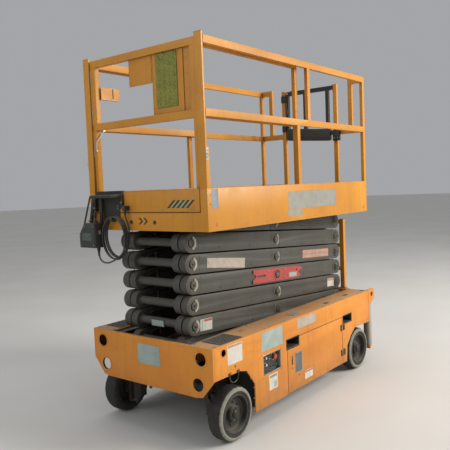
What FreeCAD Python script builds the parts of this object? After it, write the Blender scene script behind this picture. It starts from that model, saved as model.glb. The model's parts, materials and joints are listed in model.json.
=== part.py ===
import FreeCAD, Part
import math, os

# Six-stage electric scissor lift, slab type, in its own frame.
# +X is the steering end, +Y its left side, +Z up, millimetres.
# Origin: on the floor, in the middle of the wheelbase and of the width.
V = FreeCAD.Vector

# ---------------------------------------------------------------- driving dimensions
WHEELBASE = 1880.0
TYRE_R, TYRE_W, TYRE_Y = 190.0, 130.0, 527.0      # radius, width, middle plane from the centre line
RIM_R = 138.0
AXLE_Z = TYRE_R
KING_Y, KING_R = 400.0, 18.0                      # steering kingpin
SPINDLE_R = 30.0

HALF_W = 595.0                                    # chassis half width
DECK_Z = 702.0                                    # chassis top
FRONT_X, SIDE_REAR_X, REAR_X = 1184.0, -1148.0, -1281.0
SKIRT_Z = 133.0
ARCH_Z = 483.0
SKIN = 5.0
FRAME_Y, FRAME_Z0, FRAME_Z1 = 275.0, 200.0, 562.0  # main box frame
PAN_Y, PAN_X0, PAN_X1, PAN_Z = 392.0, -1125.0, 1165.0, 570.0  # well that the folded arms lie in
POCKETS = [(125.0, 311.0), (-789.0, -616.0)]      # fork pockets: x from, x to
POCKET_Z0, POCKET_Z1, POCKET_T = 482.0, 562.0, 8.0

ARM_L = 2087.0                                    # pin to pin
STOW_DEG = 4.0                                    # arm angle when folded
STAGES = 6
ARM_D, ARM_W, ARM_T = 132.0, 58.0, 6.0            # arm tube: depth, width, wall
OUT_Y0 = 262.0                                    # inner face of an outer arm
INN_Y0 = 190.0                                    # inner face of an inner arm
PIN_R, PIN_HEAD_R, CROSS_R = 25.0, 30.0, 30.0
BASE_PIN_X, BASE_PIN_Z = -1044.0, 642.5           # fixed pivot of the lowest outer arms
ROLLER_R, ROLLER_Y0, ROLLER_Y1 = 35.0, 336.0, 368.0
TRACK_Y0, TRACK_Y1, TRACK_T = 332.0, 380.0, 8.0

PLAT_X0, PLAT_X1, PLAT_Y = -1185.0, 1157.0, 585.0
PLAT_Z0, TOE_Z, FLOOR_Z = 1461.0, 1743.0, 1596.0
RAIL_TOP_Z, RAIL_MID_Z, RAIL_H = 2716.0, 2254.0, 50.0   # upper faces of the rails, rail depth
EXT_TRAVEL = 920.0
DOOR_AXIS = (-603.0, 595.0)                       # upright hinge line of a side tray
DOOR_T = 30.0
GATE_AXIS = (-1149.0, 267.0)                      # upright hinge line of the rear gate

# lift cylinders: distances along the lower and the upper inner arm, heights off the arm's centre line
CYL_FOOT_S, CYL_FOOT_N = 1450.0, -30.0
CYL_EYE_S, CYL_EYE_N = 650.0, -55.0
CYL_TUBE_N = 38.0                                 # cross tube that carries the upper lugs
CYL_STAGES = [1, 4]

TH = math.radians(STOW_DEG)
STEP_Z = ARM_L * math.sin(TH)
FRONT_PIN_X = BASE_PIN_X + ARM_L * math.cos(TH)


# ---------------------------------------------------------------- small helpers
def box(x0, x1, y0, y1, z0, z1):
    return Part.makeBox(x1 - x0, y1 - y0, z1 - z0, V(x0, y0, z0))


def cyl(axis, x, y, z, r, length):
    d = {"x": V(1, 0, 0), "y": V(0, 1, 0), "z": V(0, 0, 1)}[axis]
    return Part.makeCylinder(r, length, V(x, y, z), d)


def cyl_y(x, z, r, y0, y1):
    return cyl("y", x, y0, z, r, y1 - y0)


def prism_xz(pts, y0, y1):
    w = Part.makePolygon([V(x, y0, z) for x, z in pts] + [V(pts[0][0], y0, pts[0][1])])
    return Part.Face(w).extrude(V(0, y1 - y0, 0))


def prism_yz(pts, x0, x1):
    w = Part.makePolygon([V(x0, y, z) for y, z in pts] + [V(x0, pts[0][0], pts[0][1])])
    return Part.Face(w).extrude(V(x1 - x0, 0, 0))


def prism_xy(pts, z0, z1):
    w = Part.makePolygon([V(x, y, z0) for x, y in pts] + [V(pts[0][0], pts[0][1], z0)])
    return Part.Face(w).extrude(V(0, 0, z1 - z0))


def fuse(*parts):
    s = parts[0]
    if len(parts) > 1:
        s = s.multiFuse(list(parts[1:]))
    return s.removeSplitter()


def cut(s, *tools):
    for t in tools:
        s = s.cut(t)
    return s


def mirror_y(s):
    return s.mirror(V(0, 0, 0), V(0, 1, 0))


def group(*parts):
    return Part.makeCompound(list(parts))


def both(s):
    return group(s, mirror_y(s))


def tube_box(x0, x1, y0, y1, z0, z1, t, open_axis):
    a = [x0 + t, x1 - t, y0 + t, y1 - t, z0 + t, z1 - t]
    k = {"x": 0, "y": 2, "z": 4}[open_axis]
    o = [x0, x1, y0, y1, z0, z1]
    a[k], a[k + 1] = o[k] - 5, o[k + 1] + 5
    return cut(box(*o), box(*a))


NODES = {}


def node(name, shape):
    NODES[name] = shape


# ================================================================ chassis
XF, XR = WHEELBASE / 2, -WHEELBASE / 2

# main box frame, pierced by the fork pockets; its nose steps up over the front axle
NOSE_X, NOSE_Z = 760.0, 363.0
frame = fuse(tube_box(-1130.0, NOSE_X, -FRAME_Y, FRAME_Y, FRAME_Z0, FRAME_Z1, 10.0, "x"),
             box(NOSE_X - 10, NOSE_X, -FRAME_Y + 5, FRAME_Y - 5, FRAME_Z0 + 5, NOSE_Z + 7),
             cut(box(NOSE_X - 10, 1170.0, -FRAME_Y, FRAME_Y, NOSE_Z, FRAME_Z1),
                 box(NOSE_X - 20, 1180.0, -FRAME_Y + 10, FRAME_Y - 10, NOSE_Z + 10, FRAME_Z1 - 10)))
for x0, x1 in POCKETS:
    frame = cut(frame, box(x0 - 0.5, x1 + 0.5, -400, 400, POCKET_Z0 - 0.5, POCKET_Z1 + 1))
node("main_frame", frame)

node("fork_pockets", group(*[tube_box(x0, x1, -HALF_W, HALF_W, POCKET_Z0, POCKET_Z1 - 0.5, POCKET_T, "y")
                             for x0, x1 in POCKETS]))

# deck plate with the well for the arms
deck = fuse(
    cut(box(SIDE_REAR_X, FRONT_X - 12.5, -HALF_W + SKIN + 0.5, HALF_W - SKIN - 0.5, DECK_Z - 8, DECK_Z),
        box(PAN_X0, PAN_X1, -PAN_Y, PAN_Y, DECK_Z - 20, DECK_Z + 5)),
    cut(box(PAN_X0 - 6, PAN_X1 + 6, -PAN_Y - 8, PAN_Y + 8, PAN_Z - 7.5, DECK_Z),
        box(PAN_X0, PAN_X1, -PAN_Y, PAN_Y, PAN_Z, DECK_Z + 5)))
node("chassis_deck", deck)

# front plate: chamfered lower corners, four round tie-down holes
FRONT_OUTLINE = [(-595, 702), (-595, 483), (-493, 362), (-440, 352), (440, 352), (493, 362), (595, 483), (595, 702)]
FRONT_HOLES = [(490, 620), (460, 444), (-490, 620), (-460, 444)]   # y, z
TIE_R = 46.0
front = prism_yz(FRONT_OUTLINE, FRONT_X - 12, FRONT_X)
for y, z in FRONT_HOLES:
    front = cut(front, cyl("x", FRONT_X - 20, y, z, TIE_R, 30))
node("front_plate", front)

# side panels: one folded skin each side, with the steering arch, the rear arch and the tray opening
SKIN_OUTLINE = [(1171.5, 702), (1171.5, 483), (893, 483), (821, 463), (729, 346), (729, SKIRT_Z), (300, SKIRT_Z),
                (300, 481.5), (311.5, 481.5), (311.5, 562.5), (-606, 562.5), (-606, 130 + 7), (-682, 137),
                (-696, 280), (-770, 354), (-854, 410), (-1119, 402), (-1148, 402), (-1148, 702)]
skin = prism_xz(SKIN_OUTLINE, HALF_W - SKIN, HALF_W)
skin = cut(skin, box(-789.5, -615.5, 580, 600, 481.5, 562.5))
CTRL = (387.0, 622.0, 366.0, 517.0)               # ground control recess: x, x, z, z
skin = cut(skin, box(CTRL[0], CTRL[1], 580, 600, CTRL[2], CTRL[3]))
skin = cut(skin, cyl_y(1071, 650, 25, 580, 600))
# strip over the tray opening, between the door's upper seam and the pockets' upper edge
skin = fuse(skin, box(-606, 124.5, HALF_W - SKIN, HALF_W, 554, 562.5))
HINGE_Z = (205.0, 430.0)                          # lower ends of the tray hinges
SIDE_Y0 = FRAME_Y + 0.5
arch_f = prism_xz([(1171.5, 481), (893.3, 481), (821.8, 461), (795, 427), (655, 427), (655, SKIRT_Z + 1), (650, SKIRT_Z + 1),
                   (650, 432), (792, 432), (819, 466), (892.7, 486), (1171.5, 486)], SIDE_Y0, HALF_W - SKIN + 1)
arch_r = prism_xz([(-684, 138), (-698, 278.5), (-771.5, 352), (-854.5, 408), (-1140, 399.5), (-1140, 405), (-853.5, 413.5),
                   (-768, 357), (-692.5, 282), (-678, 138)], SIDE_Y0, HALF_W - SKIN + 1)
arch_r = cut(arch_r, box(-790, -615, 200, 700, POCKET_Z0 - 1, POCKET_Z1))
side = fuse(skin, arch_f, arch_r)
for z in HINGE_Z:                                     # notches for the tray's hinges
    side = cut(side, box(-613, -605, 588, 600, z - 2, z + 62))
node("left_side_panel", side)
node("right_side_panel", mirror_y(side))

# ground control box, let into the left panel
ctrl = cut(box(CTRL[0] + 0.5, CTRL[1] - 0.5, 470, HALF_W - 1, CTRL[2] + 0.5, CTRL[3] - 0.5),
           box(CTRL[0] + 8, CTRL[1] - 8, 566, 600, CTRL[2] + 8, CTRL[3] - 8))
knob = fuse(cyl_y(455, 470, 13, 566, 576), cyl_y(455, 470, 20, 576, 590))
node("ground_controls", fuse(ctrl, knob, cyl_y(560, 480, 9, 566, 580), cyl_y(560, 430, 9, 566, 580)))

# rear panel with two foot openings, side cheeks and tie-down ears
rear = box(-1160, -1148.5, -560, 560, 402, 693)
rear = fuse(rear, box(-1160, -1140.5, -300, 300, 133, 402))
for z0, z1 in [(205, 315), (420, 530)]:
    rear = cut(rear, box(-1170, -1130, -170, 170, z0, z1))
cheek = prism_xz([(-1148.5, 569), (-1206, 569), (-1206, 165), (-1180, 133), (-1160, 133), (-1160, 402), (-1148.5, 402)], 540, 595)
ear = prism_xz([(-1148.5, 560), (-1206, 560), (-1225, 575), (-1281, 620), (-1281, 690), (-1262, 706), (-1148.5, 706)], 575, 595)
ear = cut(ear, cyl_y(-1222, 655, 24, 560, 600))
step = box(-1206, -1160, -540, 540, 197, 205)
step2 = box(-1206, -1160, -540, 540, 412, 420)
node("rear_panel", fuse(rear, cheek, mirror_y(cheek), ear, mirror_y(ear), step, step2))

# access ladder on the rear deck
LAD_X0, LAD_X1, LAD_Y, LAD_H = -1190.0, -1151.0, 327.0, 22.0
lad = [box(LAD_X0, LAD_X1, LAD_Y - LAD_H, LAD_Y + LAD_H, 706, 1380), box(LAD_X0, LAD_X1, -LAD_Y - LAD_H, -LAD_Y + LAD_H, 706, 1380),
       box(-1195, -1149, LAD_Y - 36, LAD_Y + 36, 702, 708), box(-1195, -1149, -LAD_Y - 36, -LAD_Y + 36, 702, 708)]
for z in (880, 1110, 1340):
    lad.append(box(LAD_X0, LAD_X1, -LAD_Y, LAD_Y, z, z + 30))
foot_shelf = box(-1195, -1149, -380, 380, 694, 702)
node("ladder", fuse(*(lad + [foot_shelf])))

# front axle: cross beam under the nose, with hangers that carry the kingpin housings
BEAM_Y, BEAM_Z = 357.0, 302.0
beam = box(XF - 45, XF + 45, -BEAM_Y, BEAM_Y, BEAM_Z, NOSE_Z - 0.5)


def king_housing(sy):
    def yb(a, b):
        return (min(sy * a, sy * b), max(sy * a, sy * b))
    return fuse(cyl("z", XF, sy * KING_Y, 112, 34, 166), box(XF - 34, XF + 34, *yb(335, 375), 140, 262),
                box(XF - 34, XF + 34, *yb(335, BEAM_Y), 250, BEAM_Z + 5))


ax = fuse(beam, king_housing(1), king_housing(-1))
for s in (1, -1):
    ax = cut(ax, cyl("z", XF, s * KING_Y, 100, KING_R + 0.05, 200))
node("front_axle", ax)

rax = [box(XR - 45, XR + 45, -440, 440, 132, FRAME_Z0 - 0.5)]
for s in (1, -1):
    rax.append(box(XR - 58, XR + 58, min(s * 440, s * 456), max(s * 440, s * 456), 112, 285))
    rax.append(cyl_y(XR, AXLE_Z, SPINDLE_R, min(s * 456, s * 562), max(s * 456, s * 562)))
    rax.append(prism_xz([(-1118, 200), (-1118, 397), (-856, 403), (-776, 347), (-704, 275), (-697, 200)], min(s * 440, s * 446), max(s * 440, s * 446)))
node("rear_axle", fuse(*rax))

# roller tracks and fixed pivots in the well
tracks = [(fuse(box(-230, 1150, TRACK_Y1 - TRACK_T, TRACK_Y1, PAN_Z, 687.5),
                               box(-230, 1150, TRACK_Y0, TRACK_Y1, 679.5, 687.5),
                 box(-230, 1150, TRACK_Y0, TRACK_Y1, PAN_Z, 605.5)))]
lug = fuse(prism_xz([(-1100, PAN_Z), (-985, PAN_Z), (-1010, 672), (-1078, 672)], TRACK_Y0, TRACK_Y0 + 20),
           cyl_y(BASE_PIN_X, BASE_PIN_Z, 42, TRACK_Y0, TRACK_Y0 + 20),
           cyl_y(BASE_PIN_X, BASE_PIN_Z, PIN_R, 254, TRACK_Y0 + 5))
tracks.append(lug)
node("lower_tracks", group(*(tracks + [mirror_y(t) for t in tracks])))

# ================================================================ swing-out side trays
DOOR_OUTLINE = [(-600, 138), (294, 138), (294, 475), (118, 475), (118, 548), (-600, 548)]


def tray():
    door = prism_xz(DOOR_OUTLINE, HALF_W - DOOR_T, HALF_W)
    door = cut(door, box(222, 240, 588, 600, 345, 415))                       # latch recess
    floor = box(-590, 232, 305, HALF_W - DOOR_T, 140, 146)
    ends = fuse(box(-590, -584, 305, HALF_W - DOOR_T, 140, 330), box(226, 232, 305, HALF_W - DOOR_T, 140, 330),
                box(-590, 232, 305, 309, 140, 200))
    hinge = [cyl("z", DOOR_AXIS[0], DOOR_AXIS[1], z, 7, 60) for z in HINGE_Z]
    tabs = [box(-600, -585, 590, 598, z, z + 60) for z in HINGE_Z]
    hinge = [fuse(h, box(DOOR_AXIS[0], -596, 590.5, 598, z, z + 60)) for h, z in zip(hinge, HINGE_Z)]
    return fuse(door, floor, ends, *(hinge + tabs))


node("left_tray", tray())
node("right_tray", mirror_y(tray()))
BATTERY = (170.0, 200.0, 265.0)                   # length, depth, height
bats = [box(-570 + i * 190, -570 + i * 190 + BATTERY[0], 325, 325 + BATTERY[1], 146, 146 + BATTERY[2]) for i in range(4)]
node("batteries", group(*bats))
hyd = group(fuse(box(-560, -250, -540, -330, 146, 400), cyl("z", -405, -435, 400, 40, 22)),
            fuse(box(-200, -40, -520, -350, 146, 290), cyl("x", -195, -435, 350, 58, 260), box(-150, 40, -500, -370, 290, 330)))
node("hydraulic_unit", hyd)

# ================================================================ steering knuckles and wheels


ARM_BACK, TIE_PIN_R = 132.0, 10.0                 # steering arm's pin behind the kingpin, and its radius
ARM_Z, TIE_Z = 200.0, 233.0                       # underside of the steering arms, middle of the tie rod


def knuckle(s):
    def yb(a, b):
        return (min(s * a, s * b), max(s * a, s * b))
    parts = [cyl("z", XF, s * KING_Y, 90, KING_R, 208),
             box(XF - 30, XF + 30, *yb(380, 460), 282, 298), box(XF - 30, XF + 30, *yb(380, 460), 90, 106),
             box(XF - 42, XF + 42, *yb(440, 458), 90, 298),
             cyl_y(XF, AXLE_Z, SPINDLE_R, *yb(458, 562)),
             prism_xy([(XF - 38, s * 441), (XF - 38, s * 457), (XF - ARM_BACK - 20, s * 416), (XF - ARM_BACK - 20, s * 384),
                       (XF - ARM_BACK + 14, s * 384)], ARM_Z, ARM_Z + 16)]
    k = fuse(*parts)
    return cut(k, cyl("z", XF - ARM_BACK, s * KING_Y, ARM_Z - 10, TIE_PIN_R + 0.05, 40))


node("left_knuckle", knuckle(1))
node("right_knuckle", knuckle(-1))
tie = [cyl_y(XF - ARM_BACK, TIE_Z, 14, -372, 372)]
for s in (1, -1):
    tie += [cyl("z", XF - ARM_BACK, s * KING_Y, ARM_Z + 16.5, 21, 30), cyl("z", XF - ARM_BACK, s * KING_Y, ARM_Z - 6, TIE_PIN_R, 24),
            cyl_y(XF - ARM_BACK, TIE_Z, 15, min(s * 330, s * 392), max(s * 330, s * 392))]
tie_rod = fuse(*tie)
node("tie_rod", tie_rod)


def revolve_y(pts, x, z):
    """pts: (radius, y) outline, turned about the axle line"""
    w = Part.makePolygon([V(x + r, y, z) for r, y in pts] + [V(x + pts[0][0], pts[0][1], z)])
    return Part.Face(w).revolve(V(x, 0, z), V(0, 1, 0), 360)


def tyre(x, s):
    y0, y1 = TYRE_Y - TYRE_W / 2, TYRE_Y + TYRE_W / 2
    pts = [(RIM_R, y0 + 8), (RIM_R + 6, y0 + 3), (RIM_R + 20, y0), (TYRE_R - 16, y0), (TYRE_R - 4, y0 + 5), (TYRE_R, y0 + 16),
           (TYRE_R, y1 - 16), (TYRE_R - 4, y1 - 5), (TYRE_R - 16, y1), (RIM_R + 20, y1), (RIM_R + 6, y1 - 3), (RIM_R, y1 - 8)]
    return revolve_y([(r, s * y) for r, y in pts], x, AXLE_Z)


def rim(x, s):
    y0, y1 = TYRE_Y - TYRE_W / 2 + 8, TYRE_Y + TYRE_W / 2 - 8
    b = SPINDLE_R + 0.05
    pts = [(RIM_R, y0), (RIM_R, y1), (RIM_R - 8, y1), (RIM_R - 14, y1 - 8), (RIM_R - 18, 552), (96, 538), (62, 538), (56, 566), (b, 566),
           (b, 476), (52, 476), (56, 522), (100, 522), (RIM_R - 16, 536), (RIM_R - 16, y0 + 4), (RIM_R - 8, y0)]
    w = revolve_y([(r, s * y) for r, y in pts], x, AXLE_Z)
    return w


WHEELS = [("front_left", XF, 1), ("front_right", XF, -1), ("rear_left", XR, 1), ("rear_right", XR, -1)]
for name, x, s in WHEELS:
    node(name + "_tyre", tyre(x, s))
    node(name + "_rim", rim(x, s))

# ================================================================ scissor arms


def place_arm(shape, low_x, low_z, forward):
    """shape is drawn with its low pin at the origin and runs along +X (outer) or -X (inner)"""
    m = FreeCAD.Placement(V(low_x, 0, low_z), FreeCAD.Rotation(V(0, 1, 0), -STOW_DEG if forward else STOW_DEG))
    s = shape.copy()
    s.Placement = m.multiply(s.Placement)
    return s


def stadium(y0, y1):
    return fuse(box(0, ARM_L, y0, y1, -ARM_D / 2, ARM_D / 2), cyl_y(0, 0, ARM_D / 2, y0, y1), cyl_y(ARM_L, 0, ARM_D / 2, y0, y1))


def hollow(arm, y0, y1):
    h = ARM_D / 2 - ARM_T
    for a, b in [(75, ARM_L / 2 - 55), (ARM_L / 2 + 55, ARM_L - 75)]:
        arm = cut(arm, box(a, b, y0 + ARM_T, y1 - ARM_T, -h, h),
                  cyl("z", a + 30, (y0 + y1) / 2, -ARM_D / 2 - 2, 6, 12))
    return arm


def outer_arm(k):
    y0, y1 = OUT_Y0, OUT_Y0 + ARM_W
    a = hollow(stadium(y0, y1), y0, y1)
    a = cut(a, cyl_y(0, 0, PIN_R + 0.05, y0 - 5, y1 + 5), cyl_y(ARM_L / 2, 0, PIN_R + 0.05, y0 - 5, y1 + 5))
    if k < STAGES:
        a = cut(a, cyl_y(ARM_L, 0, PIN_R + 0.5, y0 - 5, y1 + 5))
    else:
        a = fuse(a, cyl_y(ARM_L, 0, 20, y1 - 5, ROLLER_Y1 + 2))
    return a


def along_x(shape):
    """turn a shape drawn along +X so that it runs along -X"""
    return shape.mirror(V(0, 0, 0), V(1, 0, 0))


def inner_frame(k):
    y0, y1 = INN_Y0, INN_Y0 + ARM_W
    one = hollow(stadium(y0, y1), y0, y1)
    pin_end = OUT_Y0 + ARM_W + 6.5
    collar = OUT_Y0 - 1
    pins = [cyl_y(ARM_L / 2, 0, PIN_R, y1 - 5, pin_end), cyl_y(ARM_L / 2, 0, PIN_HEAD_R, pin_end - 5, pin_end), cyl_y(ARM_L / 2, 0, 34, y1 - 2, collar)]
    pins += [cyl_y(0, 0, 34, y1 - 2, collar)]
    if k > 1:
        pins += [cyl_y(0, 0, PIN_R, y1 - 5, pin_end), cyl_y(0, 0, PIN_HEAD_R, pin_end - 5, pin_end)]
    else:
        pins += [cyl_y(0, 0, 20, y1 - 5, ROLLER_Y1 + 2)]
    pins += [cyl_y(ARM_L, 0, 34, y1 - 2, collar)]
    if k < STAGES:
        pins += [cyl_y(ARM_L, 0, PIN_R, y1 - 5, pin_end), cyl_y(ARM_L, 0, PIN_HEAD_R, pin_end - 5, pin_end)]
    else:
        pins += [cyl_y(ARM_L, 0, PIN_R, y1 - 5, TRACK_Y0 + 28), cyl_y(ARM_L, 0, PIN_HEAD_R, TRACK_Y0 + 22, TRACK_Y0 + 28)]
    one = fuse(one, *pins)
    cross = [cyl_y(0, 0, CROSS_R, -y0 - 2, y0 + 2), cyl_y(ARM_L, 0, CROSS_R, -y0 - 2, y0 + 2)]
    if k in CYL_STAGES:                            # tube that carries the cylinder's foot
        cross.append(cyl_y(CYL_FOOT_S, CYL_FOOT_N, 28, -y0 - 2, y0 + 2))
    if k - 1 in CYL_STAGES:                        # tube and lugs for the rod's eye
        cross.append(cyl_y(CYL_EYE_S, CYL_TUBE_N, 24, -y0 - 2, y0 + 2))
        for s in (1, -1):
            l0, l1 = sorted((s * 48, s * 62))
            cross.append(prism_xz([(CYL_EYE_S - 26, CYL_TUBE_N), (CYL_EYE_S + 26, CYL_TUBE_N), (CYL_EYE_S + 30, CYL_EYE_N), (CYL_EYE_S - 30, CYL_EYE_N)], l0, l1))
            cross.append(cyl_y(CYL_EYE_S, CYL_EYE_N, 30, l0, l1))
    return along_x(fuse(one, mirror_y(one), *cross))


ARM_PINS = []
for k in range(1, STAGES + 1):
    zb = BASE_PIN_Z + (k - 1) * STEP_Z
    node("outer_arms_%d" % k, both(place_arm(outer_arm(k), BASE_PIN_X, zb, True)))
    node("inner_arms_%d" % k, place_arm(inner_frame(k), FRONT_PIN_X, zb, False))


def roller(x, z):
    return cut(cyl_y(x, z, ROLLER_R, ROLLER_Y0, ROLLER_Y1), cyl_y(x, z, 20.0, ROLLER_Y0 - 5, ROLLER_Y1 + 5))


node("lower_rollers", both(roller(FRONT_PIN_X, BASE_PIN_Z)))
TOP_PIN_Z = BASE_PIN_Z + STAGES * STEP_Z
node("upper_rollers", both(roller(FRONT_PIN_X, TOP_PIN_Z)))

# red safety prop on the outside of the third outer arm
prop = cut(box(ARM_L / 2 - 395, ARM_L / 2 + 345, OUT_Y0 + ARM_W, OUT_Y0 + ARM_W + 6, -54, 54),
           cyl_y(ARM_L / 2, 0, 37, 300, 340), box(ARM_L / 2 + 175, ARM_L / 2 + 300, 300, 340, -8, 8))
node("safety_prop", place_arm(prop, BASE_PIN_X, BASE_PIN_Z + 2 * STEP_Z, True))

# ---------------------------------------------------------------- lift cylinders


def inner_point(k, s, n):
    """a point of inner frame k, s along from its low front pin, n off its centre line"""
    return (FRONT_PIN_X - s * math.cos(TH) + n * math.sin(TH), BASE_PIN_Z + (k - 1) * STEP_Z + s * math.sin(TH) + n * math.cos(TH))


for i, k in enumerate(CYL_STAGES):
    px, pz = inner_point(k, CYL_FOOT_S, CYL_FOOT_N)
    qx, qz = inner_point(k + 1, CYL_EYE_S, CYL_EYE_N)
    ln = math.hypot(qx - px, qz - pz)
    ang = math.degrees(math.atan2(qz - pz, qx - px))
    print("cylinder", i + 1, "foot", round(px, 2), round(pz, 2), "eye", round(qx, 2), round(qz, 2), "length", round(ln, 2), "angle", round(ang, 3))
    foot = cut(fuse(cyl_y(0, 0, 44, -34, 34), box(0, 75, -30, 30, -26, 26)), cyl_y(0, 0, 28.1, -40, 40))
    barrel = fuse(cyl("x", 60, 0, 0, 42, ln - 180), cyl("x", ln - 160, 0, 0, 47, 40))
    barrel = fuse(foot, cut(barrel, cyl("x", 100, 0, 0, 33, ln)))
    barrel = cut(barrel, cyl_y(0, 0, 28.1, -60, 60))
    barrel = fuse(barrel, cut(cyl("x", ln - 150, 0, 0, 40, 30), cyl("x", ln - 160, 0, 0, 25.1, 60)))
    rod = fuse(cyl("x", 110, 0, 0, 25, ln - 140), cyl("x", 110, 0, 0, 32.8, 30), cyl_y(ln, 0, 36, -34, 34),
               cyl_y(ln, 0, 14, -42, 42))
    for nm, sh in (("barrel", barrel), ("rod", rod)):
        sh = sh.copy()
        sh.Placement = FreeCAD.Placement(V(px, 0, pz), FreeCAD.Rotation(V(0, 1, 0), -ang)).multiply(sh.Placement)
        node("lift_cylinder_%d_%s" % (i + 1, nm), sh)

# ================================================================ platform
skirt = box(PLAT_X0, PLAT_X1 - 12, PLAT_Y - 5, PLAT_Y, PLAT_Z0, TOE_Z)
lip = box(PLAT_X0, PLAT_X1 - 12, PLAT_Y - 35, PLAT_Y, PLAT_Z0, PLAT_Z0 + 6)
pieces = [skirt, mirror_y(skirt), lip, mirror_y(lip),
          box(PLAT_X1 - 12, PLAT_X1, -PLAT_Y, PLAT_Y, PLAT_Z0, 1586), box(PLAT_X0, PLAT_X0 + 8, -PLAT_Y + 5, PLAT_Y - 5, PLAT_Z0, FLOOR_Z - 6)]
CORNER_Y = 524.0                                  # inner edge of the front corner plates and posts
for s in (1, -1):
    a, b = sorted((s * CORNER_Y, s * PLAT_Y))
    pieces.append(box(PLAT_X1 - 12, PLAT_X1, a, b, PLAT_Z0, TOE_Z))
    a, b = sorted((s * 312, s * 580))
    pieces.append(box(PLAT_X0, PLAT_X0 + 8, a, b, FLOOR_Z - 6, TOE_Z))
    for x in (-900, -450, 0, 450, 900):
        a, b = sorted((s * 380.5, s * 580))
        pieces.append(box(x - 4, x + 4, a, b, 1500, FLOOR_Z - 6))
node("platform_frame", fuse(*pieces))

node("platform_deck", box(PLAT_X0 + 8.5, PLAT_X1 - 19, -PLAT_Y + 5.5, PLAT_Y - 5.5, FLOOR_Z - 6, FLOOR_Z))

track = fuse(box(-1120, 1130, TRACK_Y1 - TRACK_T, TRACK_Y1, TOP_PIN_Z - 45, FLOOR_Z - 6),
             box(-1120, 1130, TRACK_Y0, TRACK_Y1, TOP_PIN_Z - 45, TOP_PIN_Z - 37),
             box(-230, 1130, TRACK_Y0, TRACK_Y1, TOP_PIN_Z + 37, TOP_PIN_Z + 45))
track = cut(track, box(-1118, -960, TRACK_Y0 - 1, TRACK_Y1 - TRACK_T, TOP_PIN_Z - 50, TOP_PIN_Z - 30))
bracket = fuse(box(-1100, -985, TRACK_Y0, TRACK_Y0 + 20, TOP_PIN_Z, FLOOR_Z - 6), cyl_y(BASE_PIN_X, TOP_PIN_Z, 48, TRACK_Y0, TRACK_Y0 + 20),
               box(-1100, -985, TRACK_Y0, TRACK_Y1, FLOOR_Z - 16, FLOOR_Z - 6))
bracket = cut(bracket, cyl_y(BASE_PIN_X, TOP_PIN_Z, PIN_R + 0.05, TRACK_Y0 - 5, TRACK_Y0 + 30))
track = fuse(track, bracket)
node("upper_tracks", both(track))

# guardrails: tubes RAIL_H deep, 30 wide
RY0, RY1 = 555.0, 585.0


def rail(x0, x1, y0, y1, z_top):
    return box(x0, x1, y0, y1, z_top - RAIL_H, z_top)


side_rail = fuse(
    rail(PLAT_X0, 1142, RY0, RY1, RAIL_TOP_Z), rail(PLAT_X0, 1142, RY0, RY1, RAIL_MID_Z),
    box(PLAT_X0, PLAT_X0 + 40, RY0, RY1, TOE_Z + 0.5, RAIL_TOP_Z),
    box(1139, PLAT_X1, CORNER_Y, PLAT_Y, TOE_Z + 0.5, 2738), box(1118, PLAT_X1, 540, PLAT_Y, TOE_Z + 0.5, 2010),
    box(-11, 29, RY0, RY1, TOE_Z + 0.5, RAIL_MID_Z), box(-183, -143, RY0, RY1, RAIL_MID_Z - 5, RAIL_TOP_Z))
# feet of the posts, down inside the toe board to the deck
for x0, x1 in ((PLAT_X0 + 9, PLAT_X0 + 40), (-11, 29), (1118, 1137)):
    side_rail = fuse(side_rail, box(x0, x1, RY0, PLAT_Y - 5.5, FLOOR_Z, TOE_Z + 5))
node("left_guardrail", side_rail)
node("right_guardrail", mirror_y(side_rail))

rear_rail = fuse(
    box(PLAT_X0, PLAT_X0 + 30, 430, RY0 - 0.5, RAIL_TOP_Z - RAIL_H, RAIL_TOP_Z),
    box(PLAT_X0, PLAT_X0 + 30, 430, 470, RAIL_MID_Z - RAIL_H, RAIL_TOP_Z),
    box(PLAT_X0, PLAT_X0 + 30, 300, RY0 - 0.5, RAIL_MID_Z - RAIL_H, RAIL_MID_Z),
    box(PLAT_X0, PLAT_X0 + 30, 272, 312, TOE_Z + 0.5, 2690),
    box(PLAT_X0 + 9, PLAT_X0 + 30, 272, 311, FLOOR_Z, TOE_Z + 5))
node("rear_guardrails", both(rear_rail))

# swing gate of the rear entry, hinged on the left gate post
gate = fuse(box(PLAT_X0, PLAT_X0 + 30, -262, 262, 2640, 2680), box(PLAT_X0, PLAT_X0 + 30, -262, 262, 2206, 2250),
            box(PLAT_X0, PLAT_X0 + 30, 190, 222, 2206, 2680), box(PLAT_X0, PLAT_X0 + 30, -60, -24, 2206, 2680), box(PLAT_X0, PLAT_X0 + 30, -262, -232, 2206, 2680))
for z in (2212, 2644):
    gate = fuse(gate, box(PLAT_X0 + 28, PLAT_X0 + 36, 240, 267, z, z + 32), cyl("z", GATE_AXIS[0], GATE_AXIS[1], z, 5, 32))
node("rear_gate", gate)

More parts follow.
